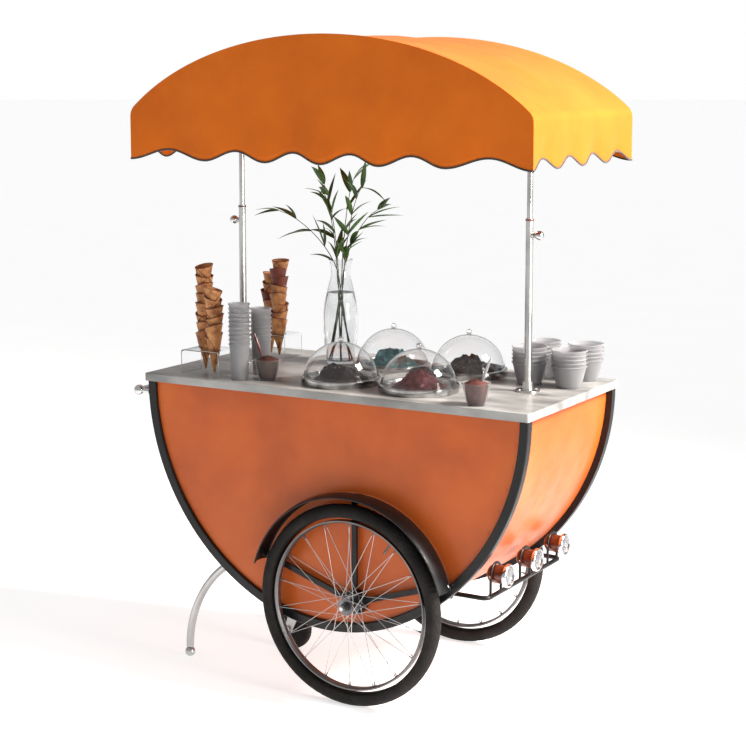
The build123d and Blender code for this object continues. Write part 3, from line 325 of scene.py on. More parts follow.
def paint_frame():
    """Gives every CAD node that stays in view its material."""
    for key, names in PAINT.items():
        for name in names:
            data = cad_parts[name].data
            data.materials.clear()
            data.materials.append(MATS[key])


# ------------------------------------------------------------------ mesh helpers
SHARP = math.radians(38)


def finish_mesh(mesh, name, material, body, replaced=()):
    """Turns a bmesh into a piece that rides on a body, smooth but for its real edges."""
    bmesh.ops.recalc_face_normals(mesh, faces=mesh.faces)
    for edge in mesh.edges:
        edge.smooth = not (len(edge.link_faces) == 2 and edge.calc_face_angle(0) > SHARP)
    for face in mesh.faces:
        face.smooth = True
    data = bpy.data.meshes.new(name)
    mesh.to_mesh(data)
    mesh.free()
    data.materials.append(MATS[material])
    obj = bpy.data.objects.new(name, data)
    bpy.context.scene.collection.objects.link(obj)
    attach(obj, body)
    if replaced:
        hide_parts(*replaced)
    return obj


def add_lathe(mesh, profile, place, segments=48, ripple=None):
    """Adds a turned form. profile is (radius, height) pairs about place's Z axis; place is a matrix."""
    rings = []
    for index, (radius, height) in enumerate(profile):
        if radius < 1e-6:
            rings.append([mesh.verts.new(place @ Vector((0, 0, height)))])
            continue
        ring = []
        for step in range(segments):
            angle = 2 * math.pi * step / segments
            reach, rise = radius, height
            if ripple:
                reach, rise = ripple(index, step, radius, height)
            spot = Vector((reach * math.cos(angle), reach * math.sin(angle), rise))
            ring.append(mesh.verts.new(place @ spot))
        rings.append(ring)
    for low, high in zip(rings, rings[1:]):
        for step in range(segments):
            after = (step + 1) % segments
            corners = [low[step % len(low)], low[after % len(low)]]
            corners += [high[after % len(high)], high[step % len(high)]]
            unique = list(dict.fromkeys(corners))
            if len(unique) > 2:
                mesh.faces.new(unique)


def add_tube(mesh, points, radii, sides=10):
    """Adds a round tube along points, with a radius at each point and closed ends."""
    if not hasattr(radii, "__len__"):
        radii = [radii] * len(points)
    rings, side = [], None
    for index, point in enumerate(points):
        ahead = points[min(index + 1, len(points) - 1)] - points[max(index - 1, 0)]
        ahead.normalize()
        if side is None:
            side = ahead.orthogonal().normalized()
        side = (side - ahead * side.dot(ahead)).normalized()
        up = ahead.cross(side)
        ring = []
        for step in range(sides):
            angle = 2 * math.pi * step / sides
            around = side * math.cos(angle) + up * math.sin(angle)
            ring.append(mesh.verts.new(point + around * radii[index]))
        rings.append(ring)
    for low, high in zip(rings, rings[1:]):
        for step in range(sides):
            after = (step + 1) % sides
            mesh.faces.new([low[step], low[after], high[after], high[step]])
    mesh.faces.new(rings[0][::-1])
    mesh.faces.new(rings[-1])


def upright(x, y, z):
    return Matrix.Translation((x, y, z))


def along(point, direction):
    """A place whose Z axis runs along direction."""
    return Matrix.Translation(point) @ Vector(direction).to_track_quat("Z", "Y").to_matrix().to_4x4()


def arc_profile(centre, radius_x, radius_y, start, stop, count):
    """Points of an elliptical arc, in degrees."""
    points = []
    for index in range(count + 1):
        angle = math.radians(start + (stop - start) * index / count)
        points.append((centre[0] + radius_x * math.cos(angle), centre[1] + radius_y * math.sin(angle)))
    return points


# ------------------------------------------------------------------ canopy
ARC_LENGTH = 0.800
ARC_HEIGHT = 0.490
SCALLOP = 0.030
SHOULDER = 0.014
SHOULDER_STEPS = 8
PIPING = 0.0028
CLOTH_THICK = 0.0012
FRONT_LOWS = (-1.0, -0.597, -0.284, 0.0, 0.284, 0.597, 1.0)
SIDE_LOWS = (-1.0, -0.5, 0.0, 0.5, 1.0)
CANOPY_HALF = (CANOPY_HI.x - CANOPY_LO.x) / 2
CANOPY_WIDE = (CANOPY_HI.y - CANOPY_LO.y) / 2
CANOPY_X = (CANOPY_HI.x + CANOPY_LO.x) / 2
HEM = CANOPY_LO.z + 0.002
ROOF_COLUMNS = 120
ROOF_ROWS = 60
DROP_ROWS = 18


def hem_height(share, lows):
    """Height of the scalloped hem at share (-1 to 1) along a side: low points where scallops meet."""
    for low, high in zip(lows, lows[1:]):
        if share <= high:
            phase = (share - low) / (high - low)
            return HEM + SCALLOP * (0.5 - 0.5 * math.cos(2 * math.pi * phase))
    return HEM


def roof_height(x):
    """Height of the roof arc, x from the canopy's middle."""
    return CANOPY_HI.z - ARC_HEIGHT * (1 - math.sqrt(1 - min(1, (x / ARC_LENGTH) ** 2)))


def cloth_wave(point, strength):
    """A smooth seeded unevenness of the cloth."""
    at = Vector((point.x * 5.5, point.y * 5.5, point.z * 3.0)) + Vector((3.7, 1.2, 8.4))
    return strength * noise.noise(at)


def roof_section():
    """(x, z) of the cloth over the arc, rounded at both ends into the hanging valances."""
    last = CANOPY_HALF - SHOULDER
    share = last / ARC_LENGTH
    slope = math.atan(ARC_HEIGHT * share / (ARC_LENGTH * math.sqrt(1 - share**2)))
    bend = SHOULDER / (1 - math.sin(slope))
    arc_steps = ROOF_COLUMNS // 2 - SHOULDER_STEPS
    half = [(last * step / arc_steps, roof_height(last * step / arc_steps)) for step in range(arc_steps + 1)]
    for step in range(1, SHOULDER_STEPS + 1):
        turn = slope + (math.pi / 2 - slope) * step / SHOULDER_STEPS
        rise = bend * (math.cos(slope) - math.cos(turn))
        half.append((last + bend * (math.sin(turn) - math.sin(slope)), roof_height(last) - rise))
    return [(-x, z) for x, z in half[:0:-1]] + half


ROOF_SECTION = roof_section()


def roof_point(column, row):
    """Point of the roof strip: column along X over the arc, row along Y."""
    x, z = ROOF_SECTION[column]
    share = 2 * row / ROOF_ROWS - 1
    span = abs(math.sin(math.pi * share))
    edge = (1 - abs(share) ** 6) * (1 - abs(x / CANOPY_HALF) ** 8)
    point = Vector((CANOPY_X + x, CANOPY_WIDE * share, z))
    point.z -= (0.007 * span + abs(cloth_wave(point, 0.006))) * edge
    return point


def drop_point(top, share, row_share, lows, outward):
    """Point of a hanging face, row_share down from top to the scalloped hem."""
    low = hem_height(share, lows)
    point = Vector((top.x, top.y, top.z + (low - top.z) * row_share))
    loose = row_share**1.6 * (1 - abs(share) ** 10)
    flute = (low - HEM) / SCALLOP
    inward = loose * (0.004 + 0.007 * flute) + abs(cloth_wave(point, 0.008)) * loose
    return point - Vector(outward) * inward


def canopy_cover():
    """One continuous cloth: the roof arc runs down into both end valances, the gables join its edges."""
    mesh = bmesh.new()
    roof = [[mesh.verts.new(roof_point(c, r)) for r in range(ROOF_ROWS + 1)] for c in range(ROOF_COLUMNS + 1)]
    for c in range(ROOF_COLUMNS):
        for r in range(ROOF_ROWS):
            mesh.faces.new([roof[c][r], roof[c + 1][r], roof[c + 1][r + 1], roof[c][r + 1]])
    hems = []
    for end, column in ((-1, 0), (1, ROOF_COLUMNS)):
        above = roof[column]
        shares = [2 * r / ROOF_ROWS - 1 for r in range(ROOF_ROWS + 1)]
        hems.append(hang(mesh, above, shares, SIDE_LOWS, (end, 0, 0)))
    for side, row in ((-1, 0), (1, ROOF_ROWS)):
        above = [roof[c][row] for c in range(ROOF_COLUMNS + 1)]
        shares = [(v.co.x - CANOPY_X) / CANOPY_HALF for v in above]
        hems.append(hang(mesh, above, shares, FRONT_LOWS, (0, side, 0)))
    bmesh.ops.remove_doubles(mesh, verts=mesh.verts, dist=5e-4)
    area = sum(face.calc_area() for face in mesh.faces)
    cover = finish_mesh(mesh, "canopy_cloth", "canvas", "canopy", ("canopy_cover",))
    solid = cover.modifiers.new("thickness", "SOLIDIFY")
    solid.thickness = CLOTH_THICK
    solid.offset = -1
    piping = bmesh.new()
    for line in hems:
        add_tube(piping, line, PIPING, 8)
    trim = finish_mesh(piping, "canopy_piping", "piping", "canopy")


def hang(mesh, above, shares, lows, outward):
    """Hangs a face of cloth below a row of vertices and returns its hem line."""
    rows = [above]
    for index in range(1, DROP_ROWS + 1):
        share_down = index / DROP_ROWS
        points = [drop_point(v.co, s, share_down, lows, outward) for v, s in zip(above, shares)]
        rows.append([mesh.verts.new(point) for point in points])
    for high, low in zip(rows, rows[1:]):
        for index in range(len(above) - 1):
            mesh.faces.new([high[index], high[index + 1], low[index + 1], low[index]])
    return [v.co.copy() for v in rows[-1]]


# ------------------------------------------------------------------ wheels
TREAD_STEPS = 480
TREAD_DEPTH = 0.0016


def tyre(side):
    """A tyre with smooth walls, bead lips and a block tread."""
    lo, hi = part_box(f"{side}_tyre")
    centre = (lo + hi) / 2
    outer = (hi.z - lo.z) / 2
    half = (hi.y - lo.y) / 2
    depth = outer - (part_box(f"{side}_wheel_rim")[1].z - centre.z)
    crown = outer - depth / 2
    profile = []
    for index in range(31):
        angle = math.radians(-118 + 236 * index / 30)
        profile.append((crown + depth / 2 * math.cos(angle), half * math.sin(angle)))
    lip = profile[-1][0] - 0.003
    profile = [(lip, -0.013)] + profile + [(lip, 0.013)]

    def tread(index, step, radius, height):
        across = abs(height) / half
        if across > 0.86 or radius < crown:
            return radius, height
        lane = int((height / half + 1) * 4.5)
        groove = (step // 2 + lane * 2) % 4 == 0 or 0.30 < across < 0.38
        return radius - (TREAD_DEPTH if groove else 0), height

    mesh = bmesh.new()
    add_lathe(mesh, profile + [profile[0]], along(centre, (0, 1, 0)), TREAD_STEPS, tread)
    bmesh.ops.remove_doubles(mesh, verts=mesh.verts, dist=1e-5)
    finish_mesh(mesh, f"{side}_tyre_tread", "rubber", f"{side}_wheel", (f"{side}_tyre",))


def nipples(side):
    """A nipple on the rim end of each spoke, and a valve stem."""
    centre = middle(f"{side}_wheel_rim")
    mesh = bmesh.new()
    for points in islands(f"{side}_spokes"):
        far = sorted(points, key=lambda p: -math.hypot(p.x - centre.x, p.z - centre.z))
        near = far[len(far) // 2:]
        end = sum(far[: len(far) // 2], Vector()) / (len(far) // 2)
        start = sum(near, Vector()) / len(near)
        run = (start - end).normalized()
        profile = [(0, 0), (0.0022, 0), (0.0022, 0.0025), (0.0016, 0.003), (0.0015, 0.010), (0.0012, 0.011)]
        add_lathe(mesh, profile, along(end, run), 8)
    rim_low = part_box(f"{side}_wheel_rim")[0].z
    inner = centre.z - rim_low - 0.008
    foot = centre + Vector((inner * math.sin(0.6), 0, inner * math.cos(0.6)))
    run = (centre - foot).normalized()
    stem = [(0, 0), (0.0055, 0), (0.0055, 0.002), (0.003, 0.003), (0.003, 0.024), (0.0038, 0.025),
            (0.0038, 0.036), (0.002, 0.038), (0, 0.038)]
    add_lathe(mesh, stem, along(foot, run), 12)
    finish_mesh(mesh, f"{side}_nipples", "spoke", f"{side}_wheel")


def fender_bolts(side):
    """Domed bolts where the stays meet the fender, and its rolled edges."""
    wheel = middle(f"{side}_tyre")
    lo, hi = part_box(f"{side}_fender")
    crest = hi.z - wheel.z
    sign = -1 if side == "right" else 1
    y = lo.y if side == "right" else hi.y
    inner_y = y - sign * (hi.y - lo.y)
    mesh = bmesh.new()
    cap = [(0, 0.0045), (0.004, 0.004), (0.0065, 0.002), (0.007, 0), (0, -0.001)]
    for angle in (17.5, 90, 161.5):
        turn = math.radians(angle)
        direction = Vector((math.cos(turn), 0, math.sin(turn)))
        spot = Vector((wheel.x, inner_y + sign * 0.012, wheel.z)) + direction * (crest - 0.0045)
        add_lathe(mesh, cap, along(spot, direction), 16)
    finish_mesh(mesh, f"{side}_fender_bolts", "chrome", "cart")
    edges = bmesh.new()
    radius = crest - 0.0079
    for edge_y in (y, inner_y):
        points = []
        for step in range(61):
            turn = math.radians(15 + 149 * step / 60)
            reach, rise = radius * math.cos(turn), radius * math.sin(turn)
            points.append(Vector((wheel.x + reach, edge_y, wheel.z + rise)))
        add_tube(edges, points, 0.0026, 8)
    finish_mesh(edges, f"{side}_fender_beads", "black", "cart")


# ------------------------------------------------------------------ lamps
def lamp(name):
    """Drum housing on its two pins, a bright ring, a domed lens and a reflector."""
    body = f"lamp_{name}"
    lo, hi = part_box(f"{body}_front")
    y, z = (lo.y + hi.y) / 2, (lo.z + hi.z) / 2
    face = hi.x
    ring = (hi.z - lo.z) / 2
    bowl_lo, bowl_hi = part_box(f"{body}_housing")
    length = bowl_hi.x - bowl_lo.x
    place = along((bowl_lo.x, y, z), (1, 0, 0))
    wide = (bowl_hi.z - bowl_lo.z) / 2
    shell = bmesh.new()
    profile = [(0, 0), (0.014, 0), (0.016, 0.0015)]
    profile += arc_profile((wide - 0.012, 0.016), 0.012, 0.0135, -75, 0, 8)
    profile += [(wide, length), (wide - 0.002, length), (wide - 0.002, 0.018), (0.016, 0.0045), (0, 0.0045)]
    add_lathe(shell, profile, place, 56)
    for sign in (-1, 1):
        pin = [(0, 0.010), (0.0035, 0.010), (0.0045, 0.008), (0.0045, 0.0065), (0.0019, 0.006),
               (0.0019, -0.014), (0, -0.014)]
        spot = Vector((middle("lamp_hoops").x, y + sign * 0.0335, middle(f"{body}_housing").z))
        add_lathe(shell, pin, along(spot, (0, sign, 0)), 16)
    finish_mesh(shell, f"{body}_bowl", "red_brown", body, (f"{body}_housing",))
    bright = bmesh.new()
    front = along((face - 0.012, y, z), (1, 0, 0))
    rim = [(ring - 0.006, 0), (ring - 0.001, 0), (ring, 0.001), (ring, 0.0085), (ring - 0.001, 0.0105),
           (ring - 0.003, 0.0119), (ring - 0.0048, 0.0118), (ring - 0.006, 0.010), (ring - 0.006, 0)]
    add_lathe(bright, rim, front, 64)
    finish_mesh(bright, f"{body}_ring", "chrome", body, (f"{body}_front",))
    glass = bmesh.new()
    edge = ring - 0.0062
    lens = [(0, 0.0105), (edge * 0.5, 0.0100), (edge * 0.85, 0.0088), (edge, 0.0078), (edge, 0.0068),
            (edge * 0.85, 0.0076), (edge * 0.5, 0.0088), (0, 0.0093)]
    add_lathe(glass, lens, front, 56)
    finish_mesh(glass, f"{body}_lens", "lens", body)
    mirror = bmesh.new()
    dish = [(edge, 0.0055), (edge * 0.85, 0.001), (edge * 0.55, -0.0025), (0.007, -0.004),
            (0.006, 0.001), (0, 0.003)]
    add_lathe(mirror, dish, front, 48)
    finish_mesh(mirror, f"{body}_reflector", "reflector", body)


# ------------------------------------------------------------------ serving set
FLAVOURS = ("chocolate", "berry", "mint", "chocolate")
GELATO_CRESTS = 7


def lump(point, seed, size):
    """Layered noise for a scooped surface."""
    at = point * size + Vector((seed, seed * 1.7, seed * 0.3))
    return noise.noise(at) * 0.6 + noise.noise(at * 2.3) * 0.3 + noise.noise(at * 5.1) * 0.15


def tray_and_dome(number):
    tray_boxes = sorted(island_boxes("serving_trays"), key=lambda b: (round(b[0].y, 2), b[0].x))
    lid_lo, lid_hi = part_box(f"dome_lid_{number}")
    x, y = (lid_lo.x + lid_hi.x) / 2, (lid_lo.y + lid_hi.y) / 2
    radius = (tray_boxes[0][1].x - tray_boxes[0][0].x) / 2
    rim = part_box("serving_trays")[1].z - COUNTER_TOP
    tray = bmesh.new()
    profile = [(0, 0.002), (radius - 0.0215, 0.002), (radius - 0.0195, 0.003), (radius - 0.014, rim - 0.003),
               (radius - 0.0125, rim - 0.0006), (radius - 0.0115, rim), (radius - 0.002, rim),
               (radius - 0.0004, rim - 0.001), (radius, rim - 0.003), (radius - 0.0006, 0.0025),
               (radius - 0.002, 0.0004), (radius - 0.004, 0.0001), (0, 0.0001)]
    add_lathe(tray, profile, upright(x, y, COUNTER_TOP), 96)
    finish_mesh(tray, f"tray_{number}", "tray", "cart", ("serving_trays",))
    dome = bmesh.new()
    outer = (lid_hi.x - lid_lo.x) / 2
    knob_top = lid_hi.z - lid_lo.z
    crown = knob_top - 0.0175
    sphere = (outer**2 + crown**2) / (2 * crown)
    start = math.degrees(math.asin((sphere - crown) / sphere))
    shell = arc_profile((0, crown - sphere), sphere, sphere, start, 90, 18)
    inner_sphere = sphere - 0.0022
    inside = arc_profile((0, crown - sphere), inner_sphere, inner_sphere, 90, start + 0.6, 18)
    profile = [(outer + 0.0015, 0.0), (outer + 0.0015, 0.0022)] + shell[1:-1] + [(0, crown)]
    add_lathe(dome, profile, upright(x, y, lid_lo.z), 72)
    profile = [(0, inside[0][1])] + inside[1:] + [(inside[-1][0], 0.0), (outer + 0.0015, 0.0)]
    add_lathe(dome, profile, upright(x, y, lid_lo.z), 72)
    bmesh.ops.remove_doubles(dome, verts=dome.verts, dist=1e-5)
    finish_mesh(dome, f"dome_{number}", "dome", f"lid_{number}", (f"dome_lid_{number}",))
    knob = bmesh.new()
    ball = knob_top - 0.009
    profile = [(0, crown - 0.003), (0.006, crown - 0.002), (0.006, crown + 0.0012), (0.0032, crown + 0.002),
               (0.003, ball - 0.007), (0.0055, ball - 0.0065)]
    profile += arc_profile((0, ball), 0.0088, 0.0088, -48, 90, 10)
    add_lathe(knob, profile, upright(x, y, lid_lo.z), 28)
    finish_mesh(knob, f"dome_knob_{number}", "dome", f"lid_{number}")
    portion(number, x, y)


def portion(number, x, y):
    """A heap of gelato with folds and crests, on the tray's floor."""
    lo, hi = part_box("gelato")
    tall = hi.z - lo.z
    radius = min(b[1].x - b[0].x for b in island_boxes("gelato")) / 2
    random.seed(40 + number)
    crests = []
    for _ in range(GELATO_CRESTS):
        turn, far = random.uniform(0, 2 * math.pi), random.uniform(0.15, 0.62)
        crests.append((turn, far, random.uniform(0.55, 1.0)))

    def heap(index, step, reach, height):
        angle = 2 * math.pi * step / 96
        flat = Vector((reach * math.cos(angle), reach * math.sin(angle), 0))
        rise = 0.0
        for turn, far, big in crests:
            spot = Vector((radius * far * math.cos(turn), radius * far * math.sin(turn), 0))
            rise += big * math.exp(-((flat - spot).length / (radius * 0.30)) ** 2)
        share = reach / radius
        ridge = abs(lump(flat, number, 32))
        top = tall * (1 - share**3) * (0.56 + 0.26 * min(rise, 1.4) + 0.52 * (ridge - 0.16))
        wobble = 1 + 0.05 * noise.noise(Vector((math.cos(angle) * 2, math.sin(angle) * 2, number)))
        return reach * wobble, max(0.0005, top)

    mesh = bmesh.new()
    rings = [(radius * (1 - index / 40) ** 0.8, 0) for index in range(40)] + [(0, tall * 0.62)]
    add_lathe(mesh, rings, upright(x, y, lo.z), 96, heap)
    finish_mesh(mesh, f"gelato_{number}", FLAVOURS[number - 1], "cart", ("gelato",))


def cup_profile(foot, top, height, lip):
    """Half section of one thin cup with a rolled lip, from the outside foot to the inside floor."""
    wall = 0.0009
    return [(0, 0.0012), (foot * 0.8, 0.0012), (foot * 0.86, 0), (foot, 0), (foot + 0.0008, 0.002),
            (top - 0.0012, height - 0.006), (top, height - 0.0055), (top + lip, height - 0.004),
            (top + lip, height - 0.001), (top + lip * 0.5, height), (top - 0.0004, height - 0.0004),
            (top - wall - 0.0012, height - 0.007), (foot + 0.0008 - wall, 0.003), (foot * 0.8, 0.0022),
            (0, 0.0022)]


# (pitch, cup height, foot as a share of the top, lip) of the short and the tall cups
STACKS = ((0.0116, 0.066, 0.69, 0.0020), (0.0135, 0.110, 0.785, 0.0016))


def cup_stacks():
    """Nested cups, each a thin shell with its own rolled lip."""
    mesh = bmesh.new()
    random.seed(5)
    for lo, hi in island_boxes("cup_stacks"):
        tall = hi.z - lo.z
        short = tall < 0.15
        step, single, taper, lip = STACKS[0] if short else STACKS[1]
        count = round((tall - single) / step) + 1
        top = (hi.x - lo.x) / 2 - lip
        for index in range(count):
            x = (lo.x + hi.x) / 2 + random.uniform(-1, 1) * 0.0004
            y = (lo.y + hi.y) / 2 + random.uniform(-1, 1) * 0.0004
            section = cup_profile(top * taper, top, single, lip)
            add_lathe(mesh, section, upright(x, y, lo.z + index * step), 48)
    finish_mesh(mesh, "nested_cups", "frosted", "cart", ("cup_stacks",))


def filled_cups():
    """Two cups of dessert, each with a spoon."""
    shells = bmesh.new()
    boxes = sorted(island_boxes("filled_cups"), key=lambda b: b[0].x)
    servings = (("ganache", -1, "spoon"), ("compote", 1, "white_spoon"))
    for (lo, hi), (flavour, lean, stick) in zip(boxes, servings):
        x, y = (lo.x + hi.x) / 2, (lo.y + hi.y) / 2
        top, tall = (hi.x - lo.x) / 2 - 0.002, hi.z - lo.z
        section = cup_profile(top * 0.67, top, tall, 0.002)
        add_lathe(shells, section, upright(x, y, lo.z), 56)

        def scoop(index, step, reach, height, top=top, tall=tall, x=x):
            angle = 2 * math.pi * step / 56
            share = reach / top
            if height < tall * 0.7:
                return reach, height
            flat = Vector((reach * math.cos(angle), reach * math.sin(angle), x))
            return reach, height + 0.016 * (1 - share**2) + 0.008 * abs(lump(flat, 3, 60)) * (1 - share)

        fill = bmesh.new()
        foot = top * 0.67
        rings = [(0, 0.004), (foot - 0.004, 0.004)]
        for s in range(1, 7):
            rings.append((foot - 0.002 + (top * 0.93 - foot) * s / 6, 0.004 + tall * 0.83 * s / 6))
        rings += [(top * 0.90 * (1 - s / 12), tall * 0.88) for s in range(1, 12)] + [(0, tall * 0.88 + 0.020)]
        add_lathe(fill, rings, upright(x, y, lo.z), 56, scoop)
        finish_mesh(fill, f"{flavour}_serving", flavour, "cart")
        spoon = bmesh.new()
        foot_point = Vector((x + lean * 0.008, y, lo.z + tall * 0.62))
        tip = Vector((x + lean * 0.046, y - 0.006, lo.z + tall + 0.074))
        points = [foot_point.lerp(tip, s / 10) for s in range(11)]
        radii = [0.0030 + 0.0016 * math.sin(math.pi * s / 10) * (0.4 if s < 5 else 1) for s in range(11)]
        add_tube(spoon, points, radii, 10)
        bmesh.ops.scale(spoon, vec=(1, 0.55, 1), verts=spoon.verts,
                        space=Matrix.Translation((-foot_point.x, -foot_point.y, -foot_point.z)))
        finish_mesh(spoon, f"{flavour}_{stick}", stick, "cart")
    finish_mesh(shells, "serving_cups", "clear_cup", "cart", ("filled_cups",))


CONE_TIP = 0.0022
CONE_STEPS = 48
CONE_LENGTH = 0.118
CONE_PITCH = 0.031
CONE_HEADROOM = 0.014


def wafer_cone(mesh, edges, place, radius, length, cut):
    """A rolled wafer cone with a slanted mouth, its wrap's browned edges drawn as fine ridges."""
    wall = 0.0016
    rows = 20

    def lap(turn):
        return 0.20 + 0.80 * abs((turn + math.pi) % (2 * math.pi) - math.pi) / math.pi

    def mouth(index, step, reach, height):
        turn = 2 * math.pi * step / CONE_STEPS
        share = height / length
        over = 0.0014 if index < rows + 2 and share > lap(turn) else 0
        return reach + over, height + cut * math.cos(turn) * share**3

    def on_cone(turn, share):
        reach = CONE_TIP + (radius - CONE_TIP) * share + 0.0012
        rise = length * share + cut * math.cos(turn) * share**3
        return place @ Vector((reach * math.cos(turn), reach * math.sin(turn), rise))

    profile = [(0, 0), (CONE_TIP, 0.0005)]
    profile += [(CONE_TIP + (radius - CONE_TIP) * s / rows, length * s / rows) for s in range(1, rows + 1)]
    profile += [(radius - wall, length - 0.0003)]
    for s in range(9, 1, -1):
        profile.append((CONE_TIP + (radius - CONE_TIP) * s / 10 - wall, length * s / 10 + 0.001))
    profile += [(0, length * 0.16)]
    add_lathe(mesh, profile, place, CONE_STEPS, mouth)
    turns = [math.pi * (step / 24 - 1) for step in range(49)]
    add_tube(edges, [on_cone(turn, min(lap(turn), 0.995)) for turn in turns], 0.0010, 5)
    add_tube(edges, [on_cone(turn, 1.0) for turn in turns], 0.0011, 5)


def cone_stacks():
    """Nested wafer cones, each turned and leaned a little, tips down through the holder's plate."""
    gold, dark = bmesh.new(), bmesh.new()
    random.seed(11)
    for lo, hi in sorted(island_boxes("cone_stacks"), key=lambda b: b[0].x):
        centre = (lo + hi) / 2
        radius = (hi.x - lo.x) / 2 - 0.001
        room = hi.z - lo.z - CONE_LENGTH
        count = round(room / CONE_PITCH) + 1
        pitch = (room - CONE_HEADROOM) / (count - 1)
        for index in range(count):
            lean = Vector((random.uniform(-1, 1), random.uniform(-1, 1), 0)) * 0.03
            at = Vector((centre.x, centre.y, lo.z + 0.002 + index * pitch))
            at += Vector((random.uniform(-1, 1), random.uniform(-1, 1), 0)) * 0.002
            place = along(at, Vector((0, 0, 1)) + lean) @ Matrix.Rotation(random.uniform(-2.8, 0.6), 4, "Z")
            cocoa = random.random() < 0.22 and index < count - 1
            cut = random.uniform(0.003, 0.010)
            wafer_cone(dark if cocoa else gold, dark, place, radius * 0.94, CONE_LENGTH, cut)
    finish_mesh(gold, "wafer_cones", "wafer", "cart", ("cone_stacks",))
    finish_mesh(dark, "cocoa_cones", "wafer_dark", "cart")


def cone_holders():
    """Bent clear sheet stands, with a collar where each stack of cones goes through."""
    mesh, edges = bmesh.new(), bmesh.new()
    wall = 0.003
    bead = 0.0008
    for lo, hi in island_boxes("cone_holders"):
        bend = 0.008
        outer = [(lo.x, lo.z)] + [(lo.x + bend - bend * math.cos(a), hi.z - bend + bend * math.sin(a))
                                  for a in (0, 0.52, 1.05, 1.57)]
        outer += [(hi.x - bend + bend * math.sin(a), hi.z - bend + bend * math.cos(a))
                  for a in (0, 0.52, 1.05, 1.57)]
        outer += [(hi.x, lo.z)]
        for y in (lo.y + bead, hi.y - bead):
            line = []
            for px, pz in outer:
                line.append(Vector((min(max(px, lo.x + bead), hi.x - bead), y, min(pz, hi.z - bead))))
            add_tube(edges, line, bead, 6)
        inner = []
        for px, pz in outer:
            inner.append((px + (wall if px < (lo.x + hi.x) / 2 else -wall), pz if pz == lo.z else pz - wall))
        loops = []
        for y in (lo.y, hi.y):
            loop_out = [mesh.verts.new((px, y, pz)) for px, pz in outer]
            loops.append((loop_out, [mesh.verts.new((px, y, pz)) for px, pz in inner]))
        (front_out, front_in), (back_out, back_in) = loops
        for index in range(len(outer) - 1):
            after = index + 1
            mesh.faces.new([front_out[index], front_out[after], back_out[after], back_out[index]])
            mesh.faces.new([front_in[index], back_in[index], back_in[after], front_in[after]])
            mesh.faces.new([front_out[index], front_in[index], front_in[after], front_out[after]])
            mesh.faces.new([back_out[index], back_out[after], back_in[after], back_in[index]])
        for index in (0, -1):
            mesh.faces.new([front_out[index], back_out[index], back_in[index], front_in[index]])
    finish_mesh(mesh, "clear_holders", "acrylic", "cart", ("cone_holders",))
    finish_mesh(edges, "holder_edges", "edge", "cart")
    collars = bmesh.new()
    for lo, hi in island_boxes("cone_stacks"):
        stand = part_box("cone_holders")[1].z
        profile = [(0.019, 0), (0.022, 0), (0.022, 0.0025), (0.019, 0.0025), (0.019, 0)]
        add_lathe(collars, profile, upright((lo.x + hi.x) / 2, (lo.y + hi.y) / 2, stand), 32)
    finish_mesh(collars, "holder_collars", "acrylic", "cart")


VASE_WALL = [(0.0, 0.045), (0.01, 0.048), (0.15, 0.0525), (0.30, 0.0560), (0.45, 0.0572), (0.58, 0.0535),
             (0.70, 0.0440), (0.80, 0.0350), (0.87, 0.0312), (0.93, 0.0325), (0.97, 0.0360), (1.0, 0.0400)]
WATER_SHARE = 0.69


def vase_radius(share):
    """Outer radius at a share of the vase's height, eased between the wall's points."""
    for (low, start), (high, end) in zip(VASE_WALL, VASE_WALL[1:]):
        if share <= high:
            phase = (share - low) / (high - low)
            return start + (end - start) * phase
    return VASE_WALL[-1][1]


def vase():
    """Thin glass vase, part filled with water."""
    lo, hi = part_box("vase")
    x, y = (lo.x + hi.x) / 2, (lo.y + hi.y) / 2
    height = hi.z - lo.z
    shares = [index / 60 for index in range(61)]
    eased = []
    for share in shares:
        near = [vase_radius(min(max(share + shift / 40, 0), 1)) for shift in (-1, 0, 1)]
        eased.append(sum(near) / 3)
    outer = [(radius, height * share) for radius, share in zip(eased, shares)]
    inner = [(radius - 0.0030, z) for radius, z in outer[2:]][::-1]
    mesh = bmesh.new()
    add_lathe(mesh, [(0, 0)] + outer + [(outer[-1][0] - 0.001, height + 0.0008)] + inner + [(0, outer[2][1])],
              upright(x, y, lo.z), 64)
    finish_mesh(mesh, "vase_glass", "vase", "cart", ("vase",))
    level = height * WATER_SHARE
    wet = [(radius - 0.0034, z) for radius, z in outer[3:] if z < level]
    water = bmesh.new()
    add_lathe(water, [(0, wet[0][1])] + wet + [(0, wet[-1][1])], upright(x, y, lo.z), 64)
    finish_mesh(water, "vase_water", "water", "cart")
    branches(x, y, lo.z, height)


def add_leaf(mesh, root, direction, length, width, droop, roll):
    """A narrow folded leaf that curves down towards its tip."""
    direction = direction.normalized()
    side = direction.cross(Vector((0, 0, 1))).normalized()
    side = Matrix.Rotation(roll, 3, direction) @ side
    normal = side.cross(direction)
    rows = []
    for index in range(9):
        t = index / 8
        spine = root + direction * length * t - Vector((0, 0, 1)) * droop * t * t
        half = width * math.sin(math.pi * (0.04 + 0.96 * t) ** 0.72) * 0.5 + 0.0003
        row = [spine - side * half + normal * half * 0.35, spine, spine + side * half + normal * half * 0.35]
        rows.append([mesh.verts.new(p) for p in row])
    for low, high in zip(rows, rows[1:]):
        for index in range(2):
            mesh.faces.new([low[index], low[index + 1], high[index + 1], high[index]])


TWIGS = ((-0.20, -0.05, 0.15), (-0.09, 0.05, 0.20), (-0.03, -0.05, 0.24), (0.03, 0.03, 0.25),
         (0.09, -0.02, 0.23), (0.12, 0.03, 0.16))
LEAF_TOP = 1.572


